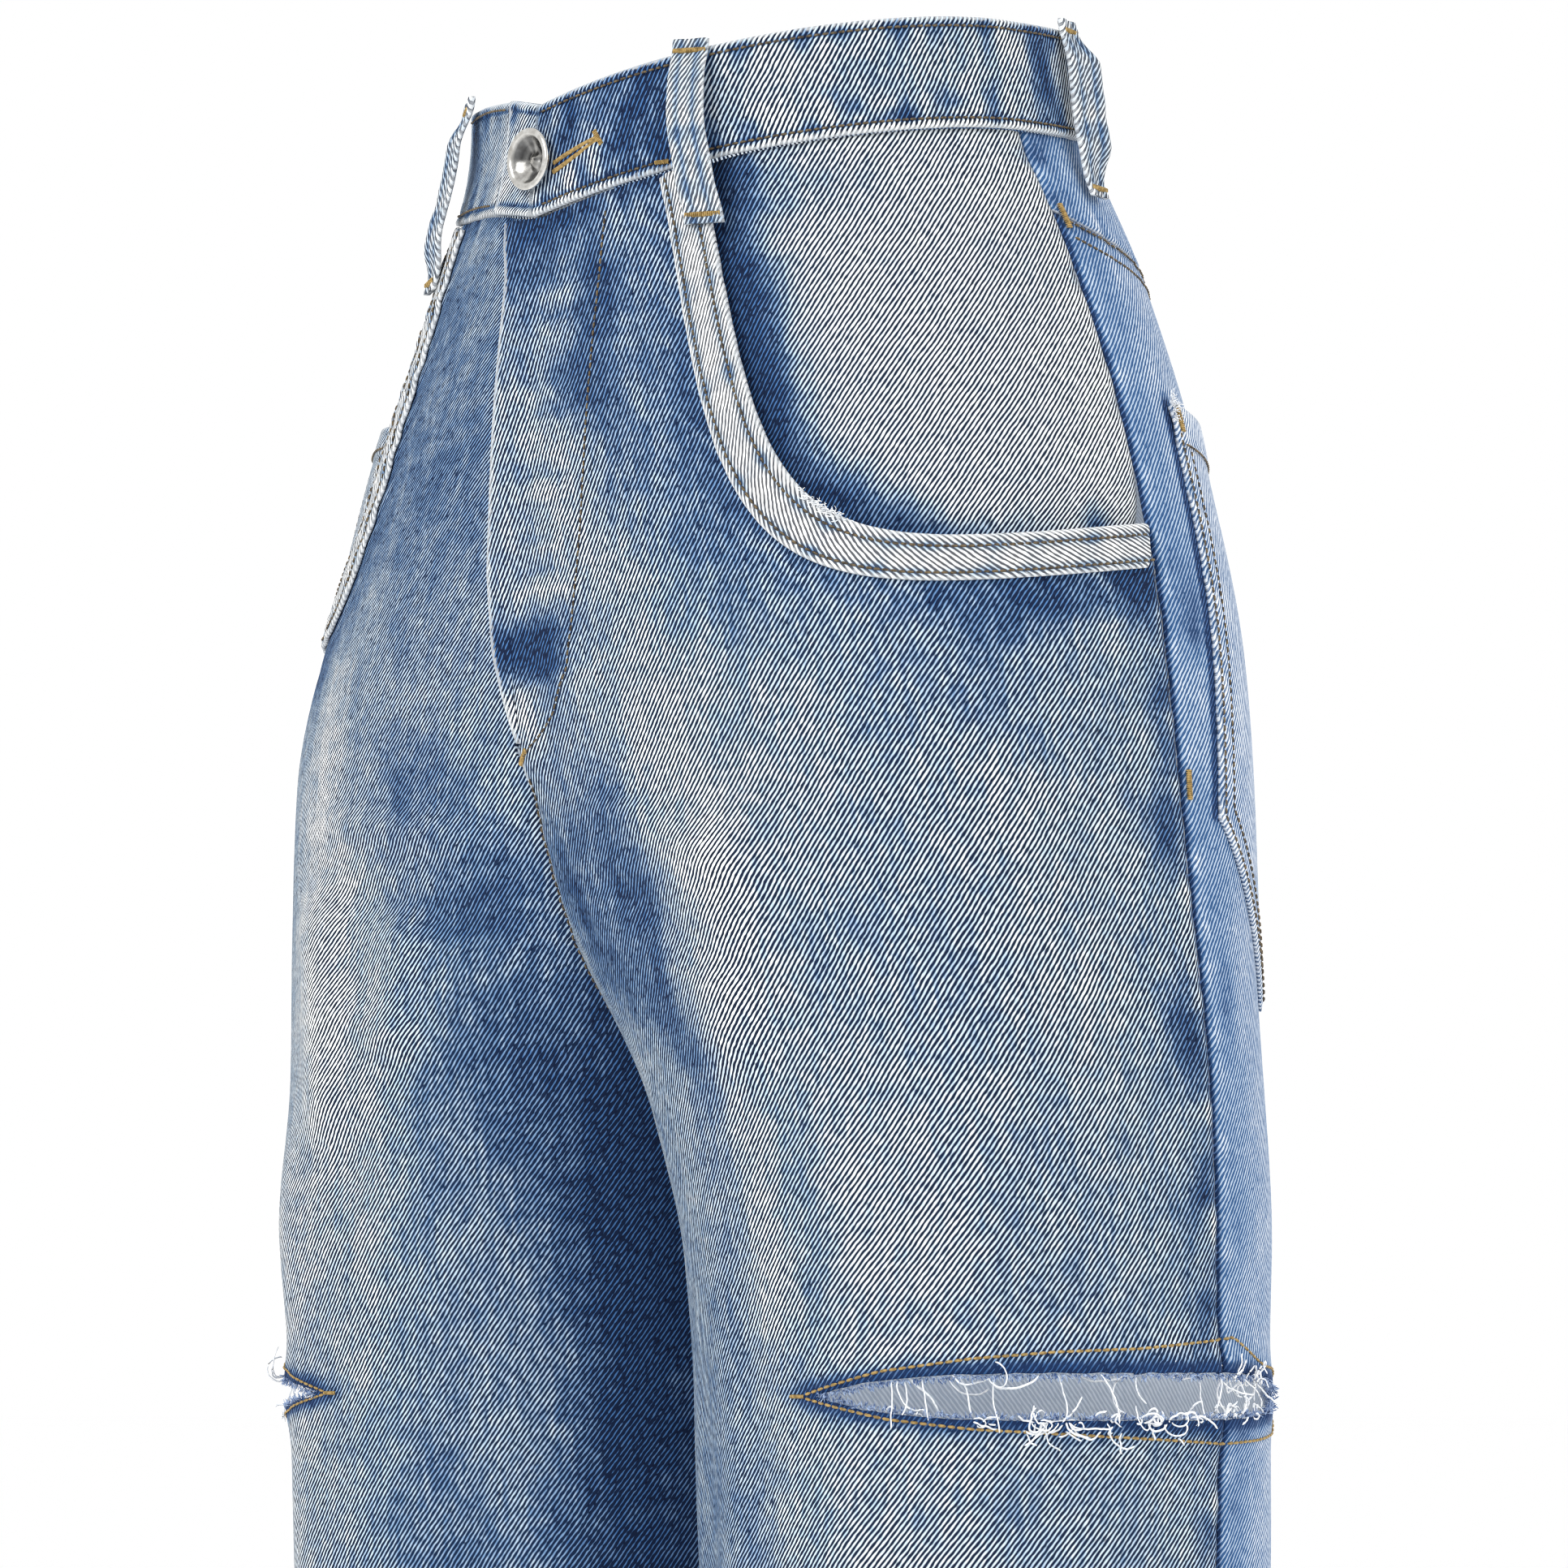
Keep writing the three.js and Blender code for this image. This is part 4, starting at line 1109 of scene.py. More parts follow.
# Section of the bound edge of a front pocket: [across from the opening's edge, out from the panel].
POCKET_BAND_SECTION = np.array([
    [0.2, -1.9], [-0.8, -1.8], [-1.5, -0.9], [-1.5, 0.5], [-0.9, 1.7], [0.3, 2.3], [1.6, 2.1],
    [2.3, 1.7], [3.1, 2.1], [4.6, 2.35], [6.4, 2.3], [8.6, 2.35], [10.0, 2.1], [10.7, 1.7],
    [11.4, 2.05], [12.4, 1.9], [13.0, 1.3], [13.1, 0.5], [12.4, 0.2], [6.0, 0.15], [0.4, 0.1],
])


def band_turns(grow, count):
    """Turns of the scoop's curve at even lengths, from the waistband to the side seam."""
    turn = np.linspace(0.02, 89.98, 6000)
    angle, z = scoop_curve(grow, turn)
    shown = (z < band_top(angle) - BAND_HEIGHT - 0.5) & (angle < side_angle(FRONT, z) - 0.3)
    turn, angle, z = turn[shown], angle[shown], z[shown]
    place = surface(LEFT, angle, z)
    length = np.concatenate([[0], np.cumsum(np.linalg.norm(np.diff(place, axis=0), axis=1))])
    return np.interp(np.linspace(0, length[-1], count), length, turn), np.linspace(0, length[-1], count)


def pocket_band(half, side):
    """The binding of a scoop: its section carried along the scoop's edge."""
    turn, length = band_turns(6.0, 130)
    across, lift = POCKET_BAND_SECTION.T
    angle, z = scoop_curve(across[None], turn[:, None])
    z = np.minimum(z, band_top(angle) - BAND_HEIGHT - 0.5)
    ripple = 0.25 * rope(length / 1.3, half)[:, None] * (lift > 1)
    base = front_out(half, angle, z, fly=False) * 0.8
    points, faces = swept(surface(half, angle, z, lift + base + ripple))
    grid = np.broadcast_to(across, angle.shape)
    edge = np.where(lift > 0.3, np.minimum(np.abs(grid + 1.2), np.abs(13.0 - grid)) + 0.7, 0.8)
    # painted shade in the grooves of the two stitch rows
    stitch_groove_shade = bell(np.abs(grid - 2.3), 1.2) + bell(np.abs(grid - 10.7), 1.2)
    fade_and_shade = 0.84 - 0.45 * stitch_groove_shade + 0.2 * rope(length / 1.6, half + 1)[:, None]
    weave = np.stack([grid, np.broadcast_to(length[:, None], grid.shape), np.zeros(grid.shape)], axis=-1)
    return make_piece(
        f"pocket_binding_{side}", points, faces, [get_material("pale denim")],
        [f"pocket_band_{side}"], swept_values(weave, fade_and_shade, edge),
    )


# Back pocket: angles of its inner and outer side at the mouth and at the foot, heights of the
# mouth's two ends and of the sides' lower ends, how far the point hangs below them, its width, and
# the millimetres off a slanting foot for each one above it.
BACK_POCKET_MOUTH = (14.0, 76.0)
BACK_POCKET_FOOT = (10.5, 74.0)
BACK_POCKET_TOP = (-136.0, -150.0)
BACK_POCKET_BOTTOM = -273.0
BACK_POCKET_POINT = 60.0
BACK_POCKET_WIDTH = 128.0
BACK_POCKET_SLANT = 0.75


def pocket_angle(u, v):
    """Angle at a share across the back pocket, from its inner side, and at a share down it."""
    return lerp(lerp(*BACK_POCKET_MOUTH, u), lerp(*BACK_POCKET_FOOT, u), v)


def pocket_top(u):
    """Height of the back pocket's mouth, which is lower at the side."""
    return lerp(*BACK_POCKET_TOP, u)


def pocket_bottom(u):
    """Height of the back pocket's foot, which comes to a point in the middle."""
    return BACK_POCKET_BOTTOM - BACK_POCKET_POINT * (1 - np.abs(2 * u - 1))


def back_pocket(half, side):
    """A pointed patch with a turned mouth, full in the middle of it."""
    u, v = np.meshgrid(np.linspace(0, 1, 49), np.linspace(0, 1, 61), indexing="ij")
    angle = pocket_angle(u, v)
    top, bottom, middle = pocket_top(u), pocket_bottom(u), 1 - np.abs(2 * u - 1)
    z = lerp(top, bottom, v)
    down = top - z
    side_away = np.minimum(u, 1 - u) * BACK_POCKET_WIDTH
    low = (z - bottom) * BACK_POCKET_SLANT
    edge = np.minimum(np.minimum(side_away, low), down + 0.4)
    seam = np.minimum(side_away, low)
    ripple = rope((z + u * 120) / 1.3, 1.0)
    out = back_out(half, angle, z) + 1.9 + 0.7 * ease((13 - down) / 2) + 1.8 * bell(down, 16) * middle
    out = out - 0.9 * bell(seam, 1.2) - 0.35 * bell(seam - 2.2, 1.0) + 0.4 * ripple * bell(seam, 9)
    fade_and_shade = 0.72 + 0.22 * ripple * bell(seam, 8) + 0.12 * bell(down, 8)
    h = np.full(u.size, half)
    return show_cloth(
        f"back_pocket_patch_{side}", h, angle.ravel(), z.ravel(), triangles(quads(48, 60)), out.ravel(),
        fade_and_shade.ravel(), edge.ravel() + 1.6, ("soft denim", "reverse"), f"back_pocket_{side}",
    )


COIN_TOP = -124.0           # height of the coin pocket's mouth
COIN_SIDE = -36.0           # angle of its free side


def coin_pocket():
    """The small patch on the right facing."""
    u, v = np.meshgrid(np.linspace(0, 1, 33), np.linspace(0, 1, 41), indexing="ij")
    data = np.stack([lerp(-68, COIN_SIDE, u).ravel(), lerp(COIN_TOP, -200, v).ravel()], axis=1)
    faces = triangles(quads(32, 40))
    data, faces = clip(data, faces, -scoop_distance(data[:, 0], data[:, 1], -0.6))
    a, z = data.T
    h = np.full(len(a), RIGHT)
    down = COIN_TOP - z
    beside = (COIN_SIDE - a) * ARC_PER_DEGREE
    edge = np.minimum(down, beside) + 0.8
    out = facing_out(h, a, z) + 1.8 + 0.6 * ease((9 - down) / 2) - 0.8 * bell(beside, 1.2)
    fade_and_shade = 0.55 + 0.2 * rope(z / 1.5, 2.0) * bell(beside, 8)
    return show_cloth(
        "coin_pocket_patch", h, a, z, faces, out, fade_and_shade, edge, ("denim", "reverse"), "coin_pocket",
    )


def fly_facing():
    """Behind both fronts, out to the J-shaped stitching: each point's x gives its half and angle."""
    z, t = np.meshgrid(np.linspace(-71.0, FLY_BOTTOM + 6, 60), np.linspace(0, 1, 24), indexing="ij")
    right_edge = np.interp(z, [-248, -226, 20], [-2, -20, -24])
    left_edge = 33 * np.sqrt(clamp(1 - (np.minimum(z + 190, 0) / 60) ** 2))
    x = lerp(right_edge, left_edge, t).ravel()
    z = z.ravel()
    h = np.where(x < 0, RIGHT, LEFT)
    a = angle_at_x(np.abs(x), z)
    out = np.full(len(a), -2.1)
    return show_cloth(
        "fly_facing_cloth", h, a, z, triangles(quads(59, 23)), out, np.full(len(a), 0.35),
        np.full(len(a), 9.0), ("denim", "reverse"), "fly_facing",
    )


# ---- waistband and loops ----

# Section of the waistband: [down from its top edge, out from its middle].
BAND_SECTION = np.array([
    [0.0, 0.0], [0.2, 0.9], [0.9, 1.6], [2.2, 1.8], [3.3, 1.35], [4.4, 1.6], [9.0, 1.65],
    [14.0, 1.6], [19.0, 1.6], [24.0, 1.65], [29.0, 1.6], [33.0, 1.6], [34.8, 1.1], [35.6, 1.75],
    [36.8, 1.9], [37.8, 1.3], [38.0, 0.2], [37.7, -1.1], [36.0, -1.5], [28.0, -1.5], [19.0, -1.5],
    [10.0, -1.5], [2.0, -1.5], [0.4, -1.0],
])


def waistband():
    """A section carried round both halves, from the lapping end over the button to the underlap."""
    stops = np.array([
        # half, share of the half from front to back, tucked in
        [RIGHT, 0.052, 0], [RIGHT, 0.0, 0], [LEFT, 0.0, 0], [LEFT, 1.0, 0], [RIGHT, 1.0, 0],
        [RIGHT, 0.2, 0], [RIGHT, 0.14, 0.3], [RIGHT, 0.1, 0.85], [RIGHT, 0.07, 1], [RIGHT, 0.03, 1],
        [RIGHT, 0.0, 1], [LEFT, 0.0, 1], [LEFT, 0.075, 1],
    ])
    rows = []
    for (half, share, tuck), (next_half, next_share, next_tuck) in zip(stops[:-1], stops[1:]):
        if half != next_half:
            continue
        count = max(3, int(abs(next_share - share) * 190))
        t = np.linspace(0, 1, count, endpoint=False)[:, None]
        halves = np.full((count, 1), half)
        rows.append(np.hstack([halves, lerp(share, next_share, t), lerp(tuck, next_tuck, t)]))
    rows.append(stops[-1:])
    half, share, tuck = np.concatenate(rows).T[:, :, None]
    drop, lift = BAND_SECTION.T
    top = band_top(lerp(-90.0, 90.0, share))
    z = top - drop
    angle = lerp(middle_angle(FRONT, z), middle_angle(BACK, z), share)
    round_mm = half * arc(angle, z)
    ripple = 0.45 * rope(round_mm / 1.5, 2.0) * (bell(drop - 4, 5) + bell(drop - 33, 6)) * (lift > 1)
    near_button = bell(angle + 78, 16) * bell(drop - 19, 13) * (half > 0)
    ripple = ripple + 0.7 * rope((round_mm + 0.8 * drop) / 2.0, 4.0) * near_button * (lift > 1)
    crease = -0.9 * bell(z + 37 + 0.05 * angle, 1.6) * bell(angle + 24, 12) * (half > 0) * (lift > 1)
    sag = 0.5 * np.sin(np.radians(angle * 7)) * bell(drop - 19, 12)
    out = lift + ripple + crease + sag * (np.abs(angle) < 80) - tuck * 3.7
    points, faces = swept(surface(half, angle, z, out))
    edge = np.where(lift > 0, np.minimum(drop, 38.0 - drop) + 0.3, 9.0) * np.ones_like(z)
    fade_and_shade = 0.5 + patches(BAND_FADE_AND_SHADE, half * np.ones_like(z), angle, z)
    fade_and_shade = fade_and_shade + 0.35 * rope((round_mm + 0.8 * drop) / 2.0, 4.0) * near_button
    fade_and_shade = fade_and_shade + 0.3 * rope(round_mm / 1.5, 2.0) * (bell(drop - 5, 5) + bell(drop - 32, 6))
    # a lighter rubbed lip at the bottom edge, and painted shade in the grooves of the two stitch rows
    fade_and_shade = fade_and_shade + 0.2 * bell(drop - 36.8, 1.5) - 0.45 * (bell(drop - 34.6, 0.9) + bell(drop - 3.3, 0.8))
    end = arc(angle, z) - arc(lerp(middle_angle(FRONT, z), middle_angle(BACK, z), 0.052), z)
    lapping = (half < 0) & (tuck == 0) & (share < 0.06)
    edge = np.where(lapping, np.minimum(edge, np.abs(end) + 0.2), edge)
    # painted shadow on the underlap beside the lapping end
    fade_and_shade = np.where((half < 0) & (tuck > 0), fade_and_shade - 0.6 * bell(np.minimum(end, 9) - 2, 3.5), fade_and_shade)
    weave = cloth_at(half * np.ones_like(z), angle, z)
    return make_piece(
        "waistband_strip", points, faces, [get_material("band denim")], ["waistband"],
        swept_values(weave, fade_and_shade, edge),
    )


LOOP_STOPS = np.array([
    [-3, 2.3], [2, 2.6], [4, 3.6], [9, 8.4], [12, 8.9], [20, 9.1], [34, 9.1], [41, 8.8], [45, 7.8],
    [51, 3.4], [53, 2.6], [60, 2.3],
])
# Section of a loop: [across, out from its inside face]; folded edges and a shallow middle.
LOOP_SECTION = np.array([
    [-6.0, 0.5], [-5.7, 1.4], [-4.8, 1.9], [-3.4, 1.8], [-2.6, 1.3], [-1.4, 1.5], [0.0, 1.15],
    [1.4, 1.5], [2.6, 1.3], [3.4, 1.8], [4.8, 1.9], [5.7, 1.4], [6.0, 0.5], [5.2, 0.0], [0.0, 0.0],
    [-5.2, 0.0],
])


LOOP_FLAT = 2.3             # how far a loop's sewn ends stand off the form
LOOP_LENGTH = 60.0
LOOP_BARS = (57.0, 1.0)     # drops of its two bars from the top of the waistband


def belt_loop(name, node, place, seed, slack=1.0, twist=0.0):
    """A section carried down the loop's path, which is smoothed by a moving average."""
    drop = np.linspace(-3, LOOP_LENGTH, 64)
    stand = np.interp(drop, *LOOP_STOPS.T)
    smooth = np.convolve(np.pad(stand, 5, mode="edge"), np.ones(11) / 11, mode="valid")
    stand = LOOP_FLAT + slack * (smooth - LOOP_FLAT)
    across, lift = LOOP_SECTION.T
    ripple = 0.25 * rope(drop / 1.2, seed)[:, None] * (lift > 1)
    thick = 1 + 0.35 * (bell(drop + 1, 3) + bell(drop - 58, 3))[:, None]
    ripple = ripple + twist * (across + 6.0) * clamp((stand - LOOP_FLAT) / 2.5)[:, None]
    shift = 0.35 * rope(drop / 3, seed + 2)[:, None]
    points, faces = swept(place(across + shift, drop[:, None], stand[:, None] + lift * thick + ripple))
    shape = (len(drop), len(across))
    edge = np.broadcast_to(6.0 - np.abs(across) + 0.9, shape)
    fade_and_shade = 0.62 + 0.14 * rope(drop / 1.4, seed)[:, None] - 0.3 * bell(np.abs(across) - 2.6, 0.9)
    weave = np.zeros(shape + (3,))
    weave[..., 0], weave[..., 1] = across, -drop[:, None]
    values = swept_values(weave, np.broadcast_to(fade_and_shade, shape), edge)
    return make_piece(name, points, faces, [get_material("pale denim")], [node], values)


def loop_place(half, centre, lean):
    """Gives the places of a loop that leans as it comes down over the waistband."""
    def place(across, drop, out):
        angle = centre + lean * drop / LOOP_LENGTH + np.degrees(across / 108)
        return surface(half, angle, band_top(centre) - drop, out)
    return place


def back_loop_place(across, drop, out):
    """The places of the loop at the middle of the back."""
    z = band_top(90.0) - drop
    return np.stack(np.broadcast_arrays(across, back_at(z) + out, z), axis=-1)


# name, angle, lean, slack of the strip over the waistband, and its twist towards the back, left and right
LOOPS = (("front", -59.0, -2.0, 0.7, (0.15, 0.2)), ("side", 20.0, -5.0, 0.4, (0.55, 0.55)))


# ---- button ----

BUTTON_HEIGHT = float(band_top(-90.0)) - BAND_HEIGHT / 2
# Section of the button from the middle of its face round the rim to its shank: [radius, out].
BUTTON_SECTION = np.array([
    [0.15, 0.9], [1.2, 0.9], [2.6, 1.0], [4.0, 1.35], [5.4, 1.95], [6.6, 2.7], [7.4, 3.4], [7.9, 4.0],
    [8.4, 4.45], [9.0, 4.6], [9.6, 4.55], [10.1, 4.3], [10.4, 3.9], [10.45, 3.5], [10.2, 3.1],
    [9.4, 2.6], [8.4, 2.1], [6.2, 1.0], [3.2, 0.3], [3.1, 0.0], [3.1, -2.8], [0.15, -2.9],
])


def waist_button():
    """A dished disc turned about its axis, with a nub that has a dimple, set off the middle."""
    turn = np.radians(np.arange(0, 360, 5))
    radius, out = BUTTON_SECTION.T
    x = radius[:, None] * np.cos(turn)
    z = radius[:, None] * np.sin(turn)
    nub = np.hypot(x - 1.5, z + 0.8)
    face = (np.arange(len(radius)) < 9)[:, None]
    rise = face * (2.3 * np.exp(-(nub / 2.2) ** 4) - 1.0 * bell(nub, 0.9) - 0.3 * bell(nub - 3.6, 0.8))
    face_y = -float(front_at(BUTTON_HEIGHT)) - 1.6
    y = face_y - (out[:, None] + rise)
    rings = np.stack(np.broadcast_arrays(x, y, BUTTON_HEIGHT + z), axis=-1)
    centre = np.array([0.0, face_y, BUTTON_HEIGHT])
    points, faces = swept(rings - centre)
    return make_piece(
        "dished_button", points + centre, faces, [get_material("nickel")], ["waist_button"],
    )


# ---- stitching ----

def buttonhole_height(x):
    """Height of the buttonhole's middle line, which rises away from the button."""
    return -54.5 + (x - 9) * 0.42


def path(*stops, count=200):
    """Dense angles and heights through a few stops, in straight steps."""
    stops = np.array(stops, dtype=float)
    t = np.linspace(0, len(stops) - 1, count)
    return (np.interp(t, np.arange(len(stops)), stops[:, k]) for k in range(stops.shape[1]))


def x_path(stops):
    """Angles and heights on the front of a half through stops of x and height."""
    x, z = path(*stops)
    return angle_at_x(np.abs(x), z), z


SLASH_ROW_ABOVE = ((-80, -456.5), (-63, -449), (-45.5, -445), (-30, -443), (-13.5, -442), (3, -439.5),
                   (11, -438.5), (18, -443.5), (25, -447.5), (36, -448.5), (44, -452), (50, -456))
SLASH_ROW_BELOW = ((-80, -457.5), (-62, -464), (-46, -467), (-14, -470), (5.5, -472), (21.5, -471),
                   (36, -469), (44, -463), (50, -458))


def brown_thread(sizes):
    """All rows of brown topstitching, as one piece."""
    thread = Thread(sizes.stitch_pitch / MM, 2.2, 0.85, 0.9)
    for half, _ in SIDES:
        angle = np.linspace(-89.5, 89.5, 500)
        if half == RIGHT:
            angle = np.linspace(-79.5, 89.5, 500)
        for drop, out in ((3.3, 1.75), (34.7, 1.7)):
            thread.row(half, angle, band_top(angle) - drop, out)
        for across in (2.3, 10.7):
            turn, _ = band_turns(across, 300)
            angle, z = scoop_curve(across, turn)
            z = np.minimum(z, band_top(angle) - BAND_HEIGHT - 1)
            thread.row(half, angle, z, 1.95 + 0.8 * front_out(half, angle, z, fly=False), skip=1)
        # yoke seam
        angle = np.linspace(2, 88, 400)
        for gap in (-1.8, -7.6):
            z = yoke_height(angle) + gap
            thread.row(half, angle, z, back_out(half, angle, z) + 0.15)
        # back pocket: outline twice, and the hem of its mouth
        for inset in (2.2, 8.6):
            share = inset / BACK_POCKET_WIDTH
            across = np.linspace(share, 1 - share, 160)
            u = np.concatenate([np.full(80, share), across, np.full(80, 1 - share)])
            v = np.concatenate([np.linspace(0, 1, 80), np.ones(160), np.linspace(1, 0, 80)])
            top, bottom = pocket_top(u), pocket_bottom(u)
            z = lerp(top - 1.5, bottom + inset / BACK_POCKET_SLANT, v)
            angle = pocket_angle(u, clamp((top - z) / (top - bottom)))
            thread.row(half, angle, z, back_out(half, angle, z) + 1.95)
        u = np.linspace(0.02, 0.98, 200)
        angle, z = pocket_angle(u, 0.0), pocket_top(u) - 13.5
        thread.row(half, angle, z, back_out(half, angle, z) + 2.7)
        # hem
        for angle in (np.linspace(-178, 3, 400), np.linspace(4, 178, 400)):
            z = np.full(400, -LENGTH + 11.0)
            out = np.where(angle < 3.5, front_out(half, angle, z, fly=False), back_out(half, angle, z))
            thread.row(half, angle, z, out + 0.1)
    # J-shaped stitching of the fly
    j = ((33, -71), (33.5, -96), (34, -130), (34, -176), (32.5, -195), (31, -207), (28, -222), (20, -236),
         (10, -244), (1, -250))
    angle, z = x_path(j)
    thread.row(LEFT, angle, z, front_out(LEFT, angle, z) + 0.1)
    z = np.linspace(-256, -372, 200)
    angle = middle_angle(FRONT, z) + 2.4 / BAR_PER_DEGREE
    thread.row(LEFT, angle, z, front_out(LEFT, angle, z) + 0.3)
    # seat seam, on the left back
    z = np.linspace(-108, -330, 300)
    for gap in (1.6, 7.2):
        angle = angle_at_x(np.full(300, gap), z, BACK)
        thread.row(LEFT, angle, z, back_out(LEFT, angle, z) + 0.2)
    # coin pocket: hem of its mouth and its free side
    angle = np.linspace(-60, -37, 100)
    thread.row(RIGHT, angle, np.full(100, -131.5), facing_out(RIGHT, angle, np.full(100, -131.5)) + 2.4)
    z = np.linspace(-126, -184, 100)
    thread.row(RIGHT, np.full(100, -37.2), z, facing_out(RIGHT, np.full(100, -37.2), z) + 1.7)
    return thread.make("topstitching", get_material("brown"))


def gold_thread(sizes):
    """The slashes' rows, the bartacks and the buttonhole's edges, as one piece."""
    thread = Thread(sizes.stitch_pitch / MM * 1.12, 2.6, 0.95, 0.9)
    for half, _ in SIDES:
        for stops in (SLASH_ROW_ABOVE, SLASH_ROW_BELOW):
            angle, z = path(*stops, count=400)
            thread.row(half, angle, z, slash_out(half, angle, z) + 0.15)
        stand = float(front_out(half, np.array(-82.0), np.array(-457.0), fly=False))
        thread.bartack(half, -82, -457, 0.3 + stand, 6, 1.3)
        thread.bartack(half, 48, -457, 0.5, 6, 1.3)
        thread.bartack(half, float(side_angle(FRONT, np.array(-263.0))) + 1.5, -263, 0.3, 2.2, 9)
        thread.bartack(half, 1.5, -74, 0.6, 2.4, 8)
        for angle in (15.2, 75.0):
            inner, outer = BACK_POCKET_MOUTH
            z = float(pocket_top((angle - inner) / (outer - inner))) - 5
            thread.bartack(half, angle, z, float(back_out(half, np.array(angle), np.array(z))) + 2.9, 2, 8)
        for _, centre, lean, _, _ in LOOPS:
            low, high = (float(band_top(centre)) - drop for drop in LOOP_BARS)
            thread.bartack(half, centre + lean * LOOP_BARS[0] / LOOP_LENGTH, low, 4.6, 10, 2.0)
            thread.bartack(half, centre, high, 4.9, 10, 2.0)
    thread.bartack(LEFT, float(angle_at_x(np.array(1.5), np.array(-249.0))), -249, 1.9, 7, 2.2, lean=-35)
    thread.bartack(LEFT, -66, float(band_top(-66.0)) - 35, 2.0, 4, 1.6)
    # buttonhole: two dense edges of the slit and a bar across its end
    for gap in (-1.5, 1.5):
        x = np.linspace(9, 27, 60)
        z = buttonhole_height(x) + gap * np.sqrt(clamp((28 - x) / 14))
        angle = angle_at_x(x, z)
        place, along, across, up = frame_along(np.full(60, LEFT), angle, z, np.full(60, 1.75))
        thread.parts.append(((place, across, -along, up), (1.7, 0.55, 0.8)))
    end = float(angle_at_x(np.array(27.5), np.array(-46.6)))
    thread.bartack(LEFT, end, -46.6, 1.8, 2.2, 5, lean=-25)
    return thread.make("gold_stitching", get_material("gold"))


def loop_back_bartacks():
    """The bars of the loop at the middle of the back, set square to it."""
    parts = []
    count = 18
    for drop in LOOP_BARS:
        x = np.linspace(-5, 5, count)
        z = np.full(count, float(band_top(90.0)) - drop)
        y = back_at(z) + 4.8
        place = np.stack([x, y, z], axis=1)
        axes = [np.tile(np.array(v, dtype=float), (count, 1)) for v in ((0, 0, 1), (1, 0, 0), (0, 1, 0))]
        parts.append(stitch_mesh(place, *axes, 2.0, 0.8, 0.8))
    points = np.concatenate([p for p, _ in parts])
    faces = np.concatenate([parts[0][1], parts[1][1] + len(parts[0][0])])
    return make_piece("back_loop_bars", points, faces, [get_material("gold")])


def buttonhole_shadow_lens():
    """The slit of the buttonhole: a thin dark lens laid in the waistband's face, as painted shade in the cut.
    """
    x = np.linspace(9.5, 27, 40)
    wide = 0.75 * np.sqrt(clamp((27.5 - x) / 16))
    z = buttonhole_height(x)
    ring = np.radians(np.arange(0, 360, 60))
    height = z[:, None] + wide[:, None] * np.sin(ring)
    angle = angle_at_x(np.broadcast_to(x[:, None], height.shape), height)
    points, faces = swept(surface(LEFT, angle, height, 1.55 + 0.25 * np.cos(ring)))
    values = {
        "cloth_mm": points, "fade_and_shade": np.full(len(points), -0.4), "edge_mm": np.full(len(points), 9.0),
        "raw_mm": np.full(len(points), UNCUT),
    }
    return make_piece(
        "buttonhole_slit_shadow", points, faces, [get_material("denim")], values=values)


# ---- fray ----

def yarn_paths(rng, half, angle, z, out, lengths, curl, droop, lift=0.35, steps=22):
    """Loose yarn from each start: its heading wanders, droop turns it down, or up when negative, and
    lift takes it off the cloth."""
    count = len(angle)
    place, _, _, up = frame_along(half, angle, z, out)
    upward = np.array([0.0, 0.0, 1.0])
    heading = rng.uniform(-1.0, 1.0, count)[:, None] + np.cumsum(
        rng.normal(0, curl, (count, steps)) * 0.5 + rng.normal(0, curl * 0.45, (count, 1)), axis=1)
    turns = np.linspace(0, 4, steps) * rng.uniform(0.4, 1.6, (count, 1))
    lift = lift + 0.45 * np.sin(rng.uniform(0, 6.28, (count, 1)) + turns)
    flat = np.cross(up, upward)
    flat /= np.linalg.norm(flat, axis=1, keepdims=True)
    step = (lengths / steps)[:, None, None]
    move = (
        np.sin(heading)[:, :, None] * flat[:, None]
        - (droop[:, None] * np.cos(heading))[:, :, None] * upward
        + lift[:, :, None] * up[:, None]
    )
    move /= np.linalg.norm(move, axis=2, keepdims=True)
    return place[:, None] + np.cumsum(move * step, axis=1)


def slash_edge(t, upper):
    """Angle and height of a point of the slash's edge, t from -1 to 1 round the leg."""
    gape = SLASH_GAPE / 2 * (1 - t ** 4)
    return SLASH_MIDDLE + SLASH_REACH * t, SLASH_HEIGHT + np.where(upper, gape, -gape)


def slash_out(half, angle, z):
    """How far the cloth at the slash stands off the form, on the front or on the back."""
    front = angle < side_angle(FRONT, z)
    return np.where(front, front_out(half, angle, z, fly=False), back_out(half, angle, z))


